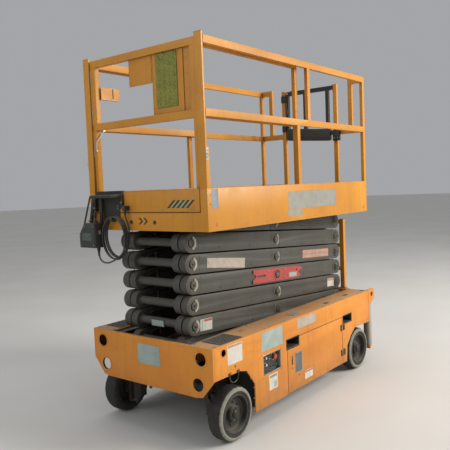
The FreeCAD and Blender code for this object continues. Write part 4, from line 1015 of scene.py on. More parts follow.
rf = Shape("rear_fittings", "chassis")
X = -1.160
for side in (1, -1):
    rf.M = None if side > 0 else MIR
    # rounded corner column
    rf.prism("xy", rounded(-1.2135, -1.1500, .5375, .6015, .0270, 6), .1680, .5660, COLUMN, r=.006, seg=2)
    rf.box((-1.2070, .5330, .1720), (-1.1620, .5385, .5600), BLACK_P, .001)
    # lamps and reflectors
    rf.box((X - .010, .430, .606), (X + .001, .520, .650), BLACK_PL, .003, 2)
    rf.box((X - .016, .436, .611), (X - .009, .514, .645), RED_PL, .004, 2)
    rf.ring((-1.222, .5745, .655), "y", .0238, .0330, .0014, ORANGE, 36, .0005)
    rf.ring((-1.222, .5944, .655), "y", .0238, .0330, .0014, ORANGE, 36, .0005)
    rf.weld([(-1.1490, .5955, .572), (-1.1490, .5955, .7000)], .0026, ORANGE)
    for z in (.165, .385):
        rf.bolt((X + .0002, .285, z), "-x", .0060, ZINC)
    for y in (.200, .400, .540):
        rf.bolt((X + .0002, y, .6830), "-x", .0060, ZINC)
    for y in (.240, .420, .535):
        rf.bolt((X + .0002, y, .4340), "-x", .0060, ZINC)
    # ladder feet
    for x in (-1.188, -1.156):
        for y in (.2970, .3565):
            rf.bolt((x, y, .7078), "z", .0050, ZINC)
    rf.weld_rect((-1.189, .306), (-1.152, .348), "xy", .7085, .0026, ORANGE_RAIL)
    for z in (.880, 1.110, 1.340):
        rf.weld([(-1.189, .3045, z), (-1.152, .3045, z), (-1.152, .3045, z + .030), (-1.189, .3045, z + .030)], .0024, ORANGE_RAIL, True)
    rf.box((-1.1880, .3070, 1.3795), (-1.1530, .3470, 1.3825), BLACK_PL, .001)
    # welded joints of the steps to the columns
    for z in (.2052, .4202):
        rf.weld([(-1.203, .5360, z), (-1.162, .5360, z)], .0026, ORANGE)
rf.M = None
for z in (.205, .420):
    slotted(rf, -1.2040, -1.1640, -.525, .525, z, TAPE, BLACK_PL, 2, 36)
for z in (.880, 1.110, 1.340):
    rf.box((-1.1870, -.292, z + .0298), (-1.1540, .292, z + .0312), TAPE, .0005)
    for i in range(22):
        rf.cyl((-1.1730 if i % 2 else -1.1590, -.273 + .026 * i, z + .0310), "z", .0040, .0009, BLACK_PL, 8)
slotted(rf, -1.1930, -1.1500, -.270, .270, .702, TAPE, BLACK_PL, 2, 18)
# charger inlet, socket, pull knob for lowering
for y in (.250, .135):
    plate(rf, "yz", rounded(y - .038, y + .038, .582, .658, .006), (), X - .005, X + .001, BLACK_PL, .001)
    rf.lathe((X - .004, y, .620), "-x", [(0, 0), (.0290, 0), (.0290, .008), (.0270, .0120), (.0100, .0130), (0, .0130)], GREY_PL, 32)
    rf.box((X - .018, y - .010, .646), (X - .004, y + .010, .654), BLACK_PL, .001)
    for a in (-.031, .031):
        for b in (-.031, .031):
            rf.bolt((X - .0048, y + a, .620 + b), "-x", .0034, ZINC, washer=False, button=True)
rf.cyl((X, -.330, .620), "-x", .0210, .008, YELLOW_PL, 28)
rf.cyl((X - .007, -.330, .620), "-x", .0090, .012, BLACK_PL, 18)
rf.lathe((X - .018, -.330, .620), "-x", [(0, 0), (.0160, 0), (.0195, .003), (.0195, .008), (.0120, .013), (0, .014)], RED_PL, 28)
rf.label("yz", -.240, -.020, .572, .668, X, -1, SIGN_WHITE, .006)
rf.label("yz", .330, .410, .590, .640, X, -1, SIGN_TEAL, .004)
# louvre slats on the rear panel; black strips fill the openings between them as painted shade
for i in range(5):
    rf.prism("xz", [(X + .001, .334 + .0155 * i), (X - .0085, .3345 + .0155 * i), (X - .0085, .3360 + .0155 * i), (X + .001, .3440 + .0155 * i)], -.150, .150, ORANGE, r=.0004)
    rf.box((X - .0008, -.146, .3445 + .0155 * i), (X + .001, .146, .3485 + .0155 * i), BLACK_PL, 0)
rf.label("yz", -.285, -.185, .150, .196, X, -1, SIGN_SILVER, .004)
rf.end()

# ================================================================ trays
for side, nm in ((1, "left"), (-1, "right")):
    t = Shape(nm + "_tray_fittings", nm + "_tray")
    t.M = None if side > 0 else MIR
    t.box((.2232, .5870, .3465), (.2388, .5935, .4135), BLACK_PL, .003, 2)
    t.box((.2262, .5930, .3560), (.2358, .5975, .3860), BLACK_PL, .002, 2)
    t.cyl((.2310, .5930, .4010), "y", .0048, .0030, ZINC, 16)
    t.box((.0860, .5945, .2660), (.1890, .5965, .4300), GREY_PL, .001)
    for i in range(8):
        t.box((.0925 + .0118 * i, .5960, .2740), (.0990 + .0118 * i, .5995, .4220), GREY_PL, .0012)
    for x, z in ((.0895, .2690), (.1855, .2690), (.0895, .4270), (.1855, .4270)):
        t.bolt((x, .5963, z), "y", .0030, ZINC, washer=False, button=True)
    t.bolt((.2310, .5948, .3220), "y", .0050, DARK_STEEL, washer=False)
    t.bolt((.1370, .5948, .2440), "y", .0050, DARK_STEEL, washer=False)
    t.label("xz", -.074, .049, .180, .247, Y, 1, SIGN_WHITE, .004)
    t.label("xz", -.069, .044, .232, .242, Y + .0006, 1, SIGN_RED, .002, .0004)
    for x in (-.560, -.330, -.100, .230):
        for z in (.155, .530) if x < .1 else (.155,):
            t.bolt((x, .5948, z), "y", .0050, ORANGE, washer=False, button=True)
    for z in (.205, .430):
        t.box((-.5950, .5945, z + .002), (-.5700, .5980, z + .058), DARK_STEEL, .001)
        for zz in (z + .014, z + .046):
            t.bolt((-.5780, .5978, zz), "y", .0042, DARK_STEEL, washer=False, button=True)
    t.weld([(-.583, .564, .1465), (.225, .564, .1465)], .0024, DARK)
    t.weld([(-.583, .3095, .1465), (.225, .3095, .1465)], .0020, DARK)
    if side > 0:
        for i in range(4):
            x0 = -.570 + .190 * i
            t.box((x0 + .006, .331, .4105), (x0 + .164, .519, .4170), BLACK_PL, .002)
            for j in range(3):
                for q in (.392, .458):
                    t.lathe((x0 + .040 + .045 * j, q, .4165), "z", [(0, 0), (.0130, 0), (.0130, .005), (.0110, .008), (0, .008)], YELLOW_PL, 16)
            for x, y, m in ((x0 + .024, .352, DARK_STEEL), (x0 + .146, .498, DARK_STEEL)):
                t.cyl((x, y, .4165), "z", .0085, .015, m, 14)
                t.box((x - .012, y - .012, .4190), (x + .012, y + .012, .4270), ZINC, .001)
                t.bolt((x, y, .4310), "z", .0045, ZINC, washer=False)
            if i < 3:
                t.tube([(x0 + .146, .498, .430), (x0 + .160, .500, .452), (x0 + .190, .430, .456), (x0 + .212, .356, .452), (x0 + .214, .352, .430)], .0062, HOSE, 8, 6)
            t.box((x0 + .035, .3240, .200), (x0 + .135, .3250, .300), SIGN_PALE, 0)
            t.box((x0 + .030, .5249, .210), (x0 + .140, .5262, .330), SIGN_GREY, 0)
        t.box((-.575, .418, .4170), (.176, .432, .4230), DARK_STEEL, .001)
        for x in (-.578, .180):
            t.cyl((x, .425, .150), "z", .0040, .280, ZINC, 10)
            t.bolt((x, .425, .4230), "z", .0062, ZINC)
        t.tube([(-.546, .352, .430), (-.560, .360, .470), (-.575, .420, .480), (-.576, .520, .430), (-.576, .540, .300), (-.560, .545, .220)], .0068, HOSE, 8, 6)
        t.tube([(.146, .498, .430), (.170, .505, .465), (.205, .530, .440), (.214, .545, .330), (.210, .545, .200)], .0068, HOSE, 8, 6)
    else:
        t.lathe((-.405, .435, .4215), "z", [(0, 0), (.0360, 0), (.0360, .006), (.0330, .009), (.0330, .018), (.0300, .020), (0, .020)], BLACK_PL, 28)
        t.ring((-.405, .435, .3995), "z", .0405, .0460, .004, ZINC, 28)
        t.box((-.560, .5395, .230), (-.450, .5412, .320), SIGN_WHITE, 0)
        t.box((-.300, .5395, .170), (-.285, .5425, .370), PALE_BLUE_AND_GLINT, .001)
        t.box((-.190, .380, .2905), (-.060, .490, .345), ZINC, .002)
        for i in range(3):
            t.cyl((-.170 + .045 * i, .410, .344), "z", .0140, .055, BLACK_PL, 20)
            t.cyl((-.170 + .045 * i, .410, .399), "z", .0060, .008, ZINC, 12)
            t.cyl((-.170 + .045 * i, .460, .344), "z", .0100, .014, BRASS, 6)
            t.tube([(-.170 + .045 * i, .460, .356), (-.170 + .045 * i, .466, .392), (-.150 + .05 * i, .500, .410), (-.03 + .04 * i, .525, .380), (.060 + .04 * i, .530, .300), (.120 + .02 * i, .520, .200)], .0070, HOSE, 8, 6)
        t.ring((-.1965, .435, .350), "x", .0550, .0605, .010, ZINC, 32)
        t.ring((.0600, .435, .350), "x", .0550, .0605, .010, ZINC, 32)
        t.box((-.080, .4850, .330), (-.020, .5030, .372), BLACK_PL, .002)
        for y in (.405, .465):
            t.cyl((.0640, y, .350), "x", .0065, .016, BRASS, 6)
            t.tube([(.0780, y, .350), (.110, y, .352), (.140, y + .01, .330), (.150, y + .02, .250), (.150, .500, .170)], .0064, HOSE, 8, 6)
        t.tube([(-.250, .450, .180), (-.225, .450, .178), (-.205, .440, .185)], .0140, HOSE, 10, 6)
    t.end()

# ================================================================ steering
for side, nm in ((1, "left"), (-1, "right")):
    kn = Shape(nm + "_knuckle_fittings", nm + "_knuckle")
    kn.M = None if side > 0 else MIR
    kn.lathe((XF, .400, .0900), "-z", [(0, 0), (.0240, 0), (.0240, .004), (.0220, .006), (.0150, .0065), (.0150, .014), (.0120, .016), (0, .016)], DARK_STEEL, 24)
    kn.lathe((XF, .400, .2980), "z", [(0, -.001), (.0260, -.001), (.0260, .003), (.0170, .0040), (.0170, .009), (0, .010)], DARK_STEEL, 24)
    kn.cyl((XF, .400, .3075), "z", .0040, .010, BRASS, 10)
    for z0 in (.106, .282):
        kn.weld([(XF - .030, .4395, z0), (XF + .030, .4395, z0)], .0030, AXLE)
    kn.weld([(XF - .0425, .443, .2005), (XF - .0425, .455, .2005), (XF - .0425, .455, .2155), (XF - .0425, .443, .2155)], .0024, AXLE, True)
    for dx in (-.032, .032):
        for z in (.110, .270):
            kn.bolt((XF + dx, .4402, z), "-y", .0065, DARK_STEEL)
    kn.tube([(XF + .020, .452, .290), (XF + .022, .440, .304), (XF + .018, .418, .3085)], .0042, HOSE, 8, 5)
    kn.end()
tr = Shape("tie_rod_fittings", "tie_rod")
for side in (1, -1):
    tr.M = None if side > 0 else MIR
    tr.cyl((XF - .132, .332, .233), "-y", .0185, .014, ZINC, 6)
    tr.ring((XF - .132, .400, .2465), "z", .0030, .0170, .004, DARK_STEEL, 24)
    tr.bolt((XF - .132, .400, .2495), "z", .0085, ZINC, washer=False)
    tr.bolt((XF - .132, .400, .1942), "-z", .0095, ZINC)
tr.end()

CYL_FOOT, CYL_EYE, CYL_TUBE = (1.450, -.030), (.650, -.055), .038
# ================================================================ scissor arms, small pieces
def crescent(s, p, a0, a1, r0, r1, y0, y1, mat, n=10):
    """a keeper plate that hugs a pin's head"""
    A = [math.radians(a0 + (a1 - a0) * i / n) for i in range(n + 1)]
    pts = [(p[0] + r1 * math.cos(a), p[1] + r1 * math.sin(a)) for a in A] + [(p[0] + r0 * math.cos(a), p[1] + r0 * math.sin(a)) for a in reversed(A)]
    s.prism("xz", pts, y0, y1, mat, r=.0006)
    for a in (a0 + .16 * (a1 - a0), a1 - .16 * (a1 - a0)):
        t_ = math.radians(a)
        rm = (r0 + r1) / 2
        s.bolt((p[0] + rm * math.cos(t_), y1, p[1] + rm * math.sin(t_)), "y", .0042, ZINC, washer=False, button=True)


for k in range(1, 7):
    o = Shape("outer_arm_%d_fittings" % k, "outer_%d" % k)
    slim = k in (1, 6)
    for side in (1, -1):
        o.M = arm_frame(k, True) @ (Matrix.Identity(4) if side > 0 else MIR)
        f = .320
        for s in (0, ARM_L / 2, ARM_L):
            if s == ARM_L / 2 and k == 3:
                continue
            if s == ARM_L and k == 6:
                continue
            o.ring((s, f - .0005, 0), "y", .0330, .0500, .0028, GREY, 44, .0008)
            o.weld_ring((s, f + .0004, 0), "y", .0508, .0019, GREY)
        # seams of the end castings, butt welds
        for s in (.078, ARM_L / 2 - .062, ARM_L / 2 + .062, ARM_L - .078):
            if k == 3 and abs(s - ARM_L / 2) < .1:
                continue
            o.weld([(s, f + .0001, -.0640), (s, f + .0001, .0640)], .0019, GREY)
        for s in (.078, ARM_L - .078):
            o.weld([(s, .2622, -.0640), (s, .2622, .0640)], .0016, GREY)
        # keepers, front and rear
        if k < 6:
            crescent(o, (ARM_L, 0), 104, 256, .0306, .0486, f + .0022, f + .0062, ZINC)
        if k > 1:
            crescent(o, (0, 0), -70, 70, .0306, .0470, f + .0022, f + .0062, DARK_STEEL)
        else:
            crescent(o, (0, 0), -60, 60, .0318, .0440, f + .0022, f + .0058, DARK_STEEL)
        if k not in (1, 3):
            crescent(o, (ARM_L / 2, 0), 108, 252, .0306, .0480, f + .0022, f + .0062, ZINC)
        # grease nipples
        for s in (.020, ARM_L - .020):
            o.cyl((s, .291, .0655), "z", .0050, .0035, BRASS, 8)
            o.cyl((s, .291, .0680), "z", .0032, .0050 if not slim else .0035, BRASS, 8)
        # drain plugs and tapped holes
        for s in (.26, .62, 1.40, 1.78):
            if k == 3 and .62 < s < 1.4:
                continue
            if (k, s) in ((4, .26), (4, .62), (4, 1.78)) and side > 0:
                continue
            o.cyl((s, f - .0005, -.040), "y", .0075, .0016, DARK_STEEL, 14)
        # short cable clips inside
        for s in (.35, .75, 1.30, 1.72):
            o.box((s - .010, .2560, -.0220), (s + .010, .2625, .0220), ZINC, .001)
    o.M = arm_frame(k, True)
    if k == 1:
        o.label("xz", 1.897, 2.028, -.042, .042, f, 1, SIGN_PALE, .004)
        o.label("xz", 1.902, 1.988, .022, .038, f + .0006, 1, SIGN_RED, .002, .0004)
    if k == 2:
        o.label("xz", .062, .188, -.038, .038, f, 1, SIGN_WHITE, .004)
        o.label("xz", .066, .184, .016, .034, f + .0006, 1, SIGN_PINK, .002, .0004)
    if k == 4:
        plate(o, "xz", [(1.476, .014), (1.930, .036), (1.930, -.036), (1.481, -.062)], [circ(1.492, -.010, .0045, 10), circ(1.915, 0, .0045, 10)], f, f + .0022, BARE_PATCH, .0006)
        for s, n in ((1.492, -.034), (1.916, .022), (1.700, -.040)):
            o.bolt((s, f + .0020, n), "y", .0042, ZINC, washer=False, button=True)
        o.label("xz", .155, .620, -.036, .036, f, 1, SIGN_PINK, .004)
        o.label("xz", .163, .612, -.006, .006, f + .0006, 1, SIGN_GREY, .002, .0004)
    o.M = arm_frame(k, True) @ MIR
    o.label("xz", .30, .46, -.034, .034, f, 1, SIGN_WHITE if k % 2 else SIGN_PALE, .004)
    if k == 4:
        o.label("xz", 1.55, 1.95, -.032, .032, f, 1, SIGN_SILVER, .004)
    o.end()

    n_ = Shape("inner_frame_%d_fittings" % k, "inner_%d" % k)
    top = .3265
    for side in (1, -1):
        n_.M = arm_frame(k, False) @ (Matrix.Identity(4) if side > 0 else MIR)
        for s in (0, ARM_L / 2, ARM_L):
            if k == 1 and s == 0 or k == 6 and s == ARM_L:
                continue
            if slim:
                n_.lathe((s, top - .0002, 0), "y", [(0, 0), (.0200, 0), (.0200, .0004), (.0120, .0006), (0, .0006)], DARK_STEEL, 24)
                continue
            mid = s == ARM_L / 2
            n_.lathe((s, top - .0005, 0), "y", [(0, 0), (.0272, 0), (.0278, .0012), (.0255, .0050), (.0130, .0056), (.0125, .0030), (0, .0030)], GREY, 36)
            if mid:
                n_.box((s - .0230, top + .0030, -.0100), (s + .0230, top + .0095, .0100), STEEL if k % 2 else GREY, .0012)
                for ds in (-.0145, .0145):
                    n_.bolt((s + ds, top + .0093, 0), "y", .0048, DARK_STEEL, washer=False)
            else:
                n_.bolt((s, top + .0022, 0), "y", .0082, DARK_STEEL)
                for a in range(3):
                    a_ = math.radians(120 * a + 30)
                    n_.cyl((s + .0195 * math.cos(a_), top + .0045, .0195 * math.sin(a_)), "y", .0026, .0018, DARK_STEEL, 8)
        # cross tube welds, gussets
        for s in (0, ARM_L):
            n_.weld_ring((s, .1885, 0), "y", .0315, .0030, GREY)
        for s in (.090, ARM_L / 2 - .070, ARM_L / 2 + .070, ARM_L - .090):
            n_.weld([(s, .2480, -.0640), (s, .2480, .0640)], .0018, GREY)
            n_.weld([(s, .1900, -.0640), (s, .1900, .0640)], .0018, GREY)
        # hoses on the left arms, electric lines on the right ones
        for i, (dn, r, m) in enumerate(((.030, .0062, HOSE), (.015, .0062, HOSE), (-.004, .0048, CABLE)) if side > 0 else ((.030, .0080, CABLE), (.012, .0055, CABLE))):
            n_.tube([(.060, .1800, dn * .6), (.130, .1812, dn), (.55, .1812, dn + .002), (ARM_L / 2, .1812, dn - .001), (1.55, .1812, dn + .002), (1.955, .1812, dn), (2.025, .1800, dn * .6)], r, m, 8, 5)
        for s in (.150, .500, .860, 1.220, 1.580, 1.930):
            n_.box((s - .009, .1700, .0420), (s + .009, .1900, .0440), ZINC, .0006)
            n_.box((s - .009, .1700, -.0160), (s + .009, .1900, -.0140), ZINC, .0006)
            n_.box((s - .009, .1690, -.0160), (s + .009, .1712, .0440), ZINC, .0006)
    n_.M = arm_frame(k, False)
    for s, n in ((CYL_FOOT[0], CYL_FOOT[1]),) if k in (1, 4) else (((CYL_EYE[0], CYL_TUBE),) if k in (2, 5) else ()):
        for sg in (1, -1):
            n_.weld_ring((s, sg * .1885, n), "y", .0290, .0028, GREY)
            n_.ring((s, sg * .0375 if k in (1, 4) else sg * .0700, n), "y" if sg > 0 else "-y", .0285, .0360, .0080, STEEL, 32)
    if k == 2:
        n_.box((-.0300 - .0032, -.0730, -.0275), (-.0296, .0550, .0225), GREY, .001)
        n_.box((-.0300 - .0040, -.0690, -.0240), (-.0330, .0510, .0190), SIGN_TEAL, .0004)
    n_.end()

# ---------------------------------------------------------------- safety prop on the third outer arm
pr = Shape("safety_prop_body", "outer_3")
pr.M = arm_frame(3, True)
h = ARM_L / 2
outline = [(h + .3450, -.0540), (h + .3440, -.0260), (h + .3060, -.0120), (h + .2980, 0), (h + .3060, .0120), (h + .3440, .0260), (h + .3450, .0540),
           (h - .2750, .0540), (h - .3100, .0480), (h - .3420, .0500), (h - .3940, .0330), (h - .3950, .0180), (h - .3560, .0120), (h - .3350, -.0060), (h - .3700, -.0240), (h - .3650, -.0400), (h - .2900, -.0540)]
slot_ = [(h + .1750 + .0, -.0080), (h + .2800, -.0080)] + [(h + .2800 + .008 * math.sin(math.radians(a)), -.008 * math.cos(math.radians(a))) for a in (30, 60, 90, 120, 150)] + [(h + .2800, .0080), (h + .1750, .0080)] + \
        [(h + .1750 - .008 * math.sin(math.radians(a)), .008 * math.cos(math.radians(a))) for a in (30, 60, 90, 120, 150)]
plate(pr, "xz", outline, [slot_, circ(h, 0, .0365, 36), circ(h - .3050, .0180, .0090, 16)], .3202, .3258, RED, .0012)
pr.ring((h, .3255, 0), "y", .0350, .0460, .0040, RED, 40)
pr.weld_ring((h, .3258, 0), "y", .0470, .0018, RED)
for s, n in ((h + .120, .034), (h + .120, -.034), (h - .120, .034), (h - .120, -.034)):
    pr.bolt((s, .3256, n), "y", .0058, ZINC)
pr.label("xz", h - .3100 - .0, h - .180, -.040, .005, .3258, 1, SIGN_GREY, .004)
pr.label("xz", h - .302, h - .188, -.034, -.001, .3264, 1, SIGN_TEAL, .002, .0004)
pr.box((h + .3000, .3258, -.0520), (h + .3430, .3300, -.0300), RED, .0012)
pr.box((h + .3000, .3258, .0300), (h + .3430, .3300, .0520), RED, .0012)
pr.weld([(h + .060, .3262, -.0525), (h + .300, .3262, -.0525)], .0018, RED)
pr.weld([(h - .270, .3262, .0525), (h + .300, .3262, .0525)], .0018, RED)
pro = pr.end()
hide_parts("safety_prop")

# ---------------------------------------------------------------- lift cylinders
for i, k in ((1, 1), (2, 4)):
    px, pz = inner_at(k, CYL_FOOT[0], CYL_FOOT[1])
    qx, qz = inner_at(k + 1, CYL_EYE[0], CYL_EYE[1])
    ln, ang = math.hypot(qx - px, qz - pz), math.atan2(qz - pz, qx - px)
    M = Matrix.Translation((px, 0, pz)) @ Matrix.Rotation(-ang, 4, "Y")
    b = Shape("lift_cylinder_%d_fittings" % i, "cylinder_%d_barrel" % i)
    b.M = M
    b.ring((.0640, 0, 0), "x", .0405, .0455, .006, BLACK_P, 40)
    b.weld_ring((.0640, 0, 0), "x", .0440, .0030, BLACK_P)
    b.ring((ln - .1640, 0, 0), "x", .0400, .0485, .004, BLACK_P, 40)
    b.ring((ln - .1205, 0, 0), "x", .0300, .0440, .0085, ZINC, 40)
    b.ring((ln - .1125, 0, 0), "x", .0262, .0335, .0060, BLACK_PL, 32)
    for a in range(6):
        a_ = math.radians(60 * a)
        b.cyl((ln - .1125, .0385 * math.cos(a_), .0385 * math.sin(a_)), "x", .0030, .0022, DARK_STEEL, 8)
    # valve block with coil, hand knob and pipes
    b.box((.0900, .0380, -.0250), (.1500, .0860, .0250), ZINC, .002)
    b.cyl((.1500, .0640, .0), "x", .0165, .0520, BLACK_PL, 24)
    b.cyl((.2010, .0640, .0), "x", .0070, .0090, ZINC, 12)
    b.cyl((.1060, .0855, .0), "y", .0080, .0100, BRASS, 6)
    b.lathe((.0900, .0640, .0), "-x", [(0, 0), (.0060, 0), (.0060, .006), (.0125, .008), (.0125, .016), (0, .018)], RED_PL, 20)
    b.tube([(.1350, .0600, .0240), (.1400, .0580, .0380), (.1900, .0420, .0430), (.3800, .0330, .0395), (.5500, .0360, .0420), (ln - .150, .0330, .0430), (ln - .145, .0240, .0440)], .0052, ZINC, 8, 6)
    b.cyl((ln - .1450, .0160, .0400), (0, .35, .94), .0090, .0110, ZINC, 6)
    for s in (.250, .480):
        b.ring((s - .006, 0, 0), "x", .0415, .0435, .012, ZINC, 36, .0004)
        b.box((s - .006, .0300, .0330), (s + .006, .0440, .0470), ZINC, .001)
    b.label("xz", .300, .400, -.014, .014, .0423, 1, SIGN_WHITE, .003)
    b.end()
    q = Shape("lift_rod_%d_fittings" % i, "cylinder_%d_rod" % i)
    q.M = M
    q.ring((ln - .0460, 0, 0), "x", .0245, .0330, .0110, DARK_STEEL, 36)
    q.weld_ring((ln - .0350, 0, 0), "x", .0290, .0024, DARK_STEEL)
    for sg in (1, -1):
        q.ring((ln, sg * .0335, 0), "y" if sg > 0 else "-y", .0150, .0300, .0018, STEEL, 32)
    q.cyl((ln - .008, 0, .0350), "z", .0036, .0060, BRASS, 8)
    q.end()

# ================================================================ platform, small pieces
pf = Shape("platform_fittings", "platform")
PY = .585
for side in (1, -1):
    pf.M = None if side > 0 else MIR
    # welds where posts meet rails and toe board
    for x0, x1, z in ((-1.185, -1.145, 1.7440), (-.011, .029, 1.7440), (1.118, 1.157, 1.7440)):
        pf.weld_rect((x0 + .001, .556), (x1 - .001, .584), "xy", z + .0005, .0026, ORANGE_RAIL)
    for x0, x1 in ((-.011, .029), (-1.185, -1.145)):
        pf.weld_rect((x0 + .001, .556), (x1 - .001, .584), "xy", 2.2035, .0026, ORANGE_RAIL)
    for x0, x1 in ((-.183, -.143),):
        pf.weld_rect((x0 + .001, .556), (x1 - .001, .584), "xy", 2.2545, .0026, ORANGE_RAIL)
        pf.weld_rect((x0 + .001, .556), (x1 - .001, .584), "xy", 2.6655, .0026, ORANGE_RAIL)
    for z0, z1 in ((2.204, 2.254), (2.666, 2.716)):
        pf.weld([(1.1385, .5545, z0), (1.1385, .5855, z0), (1.1385, .5855, z1), (1.1385, .5545, z1)], .0026, ORANGE_RAIL, True)
    pf.box((1.1372, .5222, 2.7360), (1.1585, .5868, 2.7378), ORANGE_RAIL if side > 0 else SIGN_PALE, .0008)
    # bolts that hold the posts' feet to the toe board
    for x in (-1.165, .009, 1.128):
        for z in (1.640, 1.700):
            if side < 0 or x != .009:
                pf.bolt((x, PY - .0002, z), "y", .0062, ORANGE_RAIL, washer=False, button=True)
    for x in (-.95, -.70, -.45, -.20, .25, .50, .75, 1.00):
        pf.bolt((x, PY - .0002, 1.484), "y", .0050, ORANGE_RAIL, washer=False, button=True)
    # lanyard eyes on the posts and inside the toe board
    for x in (-1.130, -.160, .850):
        pf.box((x - .020, .5735, 1.655), (x + .020, .5800, 1.695), YELLOW_PL, .001)
        pf.loop((x, .5660, 1.675), "x", .0130, .0034, ZINC)
    # end plugs of the tubes, latch pin of the folding front rail
    pf.box((-1.1875, .5570, 2.6680), (-1.1848, .5830, 2.7140), BLACK_PL, .001)
    pf.box((-1.1875, .5570, 2.2060), (-1.1848, .5830, 2.2520), BLACK_PL, .001)
    plate(pf, "xz", [(1.132, 1.922), (1.156, 1.922), (1.156, 2.006), (1.132, 2.006)], [circ(1.144, 1.985, .0045, 12)], .5850, .5880, SIGN_PALE, .001)
    pf.bolt((1.1440, .5878, 1.940), "y", .0055, ZINC)
    pf.cyl((1.1440, .5845, 1.9650), "y", .0040, .0120, ZINC, 12)
    pf.loop((1.1440, .5955, 1.9650 - .0095), "y", .0100, .0011, STEEL)
    # seams and stiffener ends along the skirt
    if side < 0:
        pf.weld([(-.450, PY + .0002, 1.4630), (-.450, PY + .0002, 1.7420)], .0014, ORANGE_RAIL)
    pf.box((-1.184, .5795, 1.7415), (1.144, .5862, 1.7445), ORANGE_RAIL, .0012)
    # hand hold loops of the mid rail opening, side
    for x in (-1.140, -.190):
        pf.box((x - .003, .5600, 2.2535), (x + .003, .5800, 2.2600), ORANGE_RAIL, .001)
    # stiffening welds under the floor
    for x in (-.900, -.450, 0, .450, .900):
        pf.weld([(x - .0045, .384, 1.5895), (x - .0045, .578, 1.5895)], .0022, ORANGE_RAIL)
    # harness along the underside
    pf.tube([(-1.150, .520, 1.480), (-.900, .524, 1.490), (-.450, .520, 1.486), (0, .524, 1.490), (.450, .520, 1.486), (.900, .524, 1.490), (1.120, .520, 1.482)], .0065, CABLE, 8, 5)
    # pivot's nut and split pin at the rear
    pf.ring((BX, .3525, BZ + 6 * STEP), "y", .0340, .0460, .004, STEEL, 36)
pf.M = None
pf.label("xz", 1.047, 1.114, 1.612, 1.738, PY, 1, SIGN_SILVER, .003)
pf.label("xz", -.575, .196, 1.552, 1.690, PY, 1, SHADE_PATCH, .006, .0004)
pf.label("xz", -.012, .206, 1.500, 1.545, PY, 1, SHADE_PATCH, .004, .0004)
pf.label("xz", 1.060, 1.084, 1.490, 1.514, PY, 1, SIGN_ORANGE, .0118)
pf.label("xz", -1.130, -1.106, 1.490, 1.514, PY, 1, SIGN_ORANGE, .0118)
# front beam's marks
for i in range(2):
    y = -.063 + .048 * i
    pf.prism("yz", [(y, 1.505), (y + .018, 1.505), (y + .047, 1.529), (y + .018, 1.553), (y, 1.553), (y + .028, 1.529)], 1.1570, 1.1576, STRIPE_DARK, r=0)
for y, z in ((-.136, 1.522), (.098, 1.520)):
    pf.ring((1.1568, y, z), "x", .0150, .0185, .0012, ORANGE_RAIL, 28, .0003)
    pf.cyl((1.1568, y, z), "x", .0150, .0006, BLACK_PL, 24)
# rear posts' hinges for the gate
for z in (2.212, 2.644):
    pf.box((-1.1860, .2680, z - .010), (-1.1520, .2730, z + .042), DARK_STEEL, .001)
    pf.cyl((-1.1490, .267, z + .0325), "z", .0075, .0060, ZINC, 14)
    pf.cyl((-1.1490, .267, z - .0065), "z", .0075, .0060, ZINC, 14)
# latch side of the gate: block at the top of the right post, strap, lower block
pf.box((-1.1860, -.3170, 2.5750), (-1.1480, -.2670, 2.6420), BLACK_P, .004, 2)
pf.box((-1.1870, -.3050, 2.6400), (-1.1540, -.2780, 2.6560), BLACK_PL, .004, 2)
pf.box((-1.1860, -.3150, 2.2780), (-1.1500, -.2680, 2.3400), BLACK_P, .004, 2)
pf.tube([(-1.1560, -.2700, 2.6150), (-1.1500, -.2580, 2.5700), (-1.1480, -.2500, 2.5000), (-1.1500, -.2450, 2.4550)], .0045, BLACK_PL, 8, 6)
# tread of the floor
lozenges(pf, -1.172, -.115, -.560, .560, 1.596, DECK_STEEL, .036)
lozenges(pf, -.115, 1.125, .512, .568, 1.596, DECK_STEEL, .036)
lozenges(pf, -.115, 1.125, -.568, -.512, 1.596, DECK_STEEL, .036)
pf.box((-1.184, -.270, 1.5955), (-1.160, .270, 1.5985), ZINC, .001)
for y in (-.24, -.08, .08, .24):
    pf.bolt((-1.172, y, 1.5980), "z", .0045, ZINC, washer=False, button=True)
# the bar's bracket beside the gate's hinges
pf.box((-1.1540, .2760, 2.1450), (-1.1200, .3470, 2.2400), BLACK_P, .004, 2)
pf.box((-1.1860, .2760, 2.2000), (-1.1500, .3300, 2.2580), BLACK_P, .003, 2)
for y in (.2940, .3290):
    pf.bolt((-1.1202, y, 2.1700), "x", .0052, ZINC)
pf.end()

gt = Shape("gate_fittings", "rear_gate")
for z in (2.2060, 2.6400):
    hgt = .044 if z < 2.5 else .040
    for y0, y1 in ((.190, .222), (-.060, -.024), (-.262, -.232)):
        if z < 2.5:
            gt.weld_rect((-1.1840, y0 + .001), (-1.1560, y1 - .001), "xy", z + hgt + .0008, .0022, BLACK_P)
        else:
            gt.weld_rect((-1.1840, y0 + .001), (-1.1560, y1 - .001), "xy", z - .0008, .0022, BLACK_P)
# padded bar across the lower rail, thicker towards its far end
prof = [(-.2590, 2.1950, 2.3000), (-.2400, 2.1860, 2.3080), (-.1000, 2.1750, 2.2950), (.0500, 2.1640, 2.2820), (.2100, 2.1520, 2.2680), (.2350, 2.1580, 2.2600)]
gt.prism("yz", [(y, a) for y, a, b in prof] + [(y, b) for y, a, b in reversed(prof)], -1.1900, -1.1500, BLACK_PL, r=.006, seg=2)
gt.box((-1.1900, -.2100, 2.6340), (-1.1500, -.1400, 2.6860), BLACK_PL, .005, 2)
gt.cyl((-1.1700, -.2620, 2.6600), "-y", .0055, .0025, ZINC, 12)
gt.box((-1.1560, -.2600, 2.6520), (-1.1480, -.2300, 2.6680), ZINC, .001)
gt.end()

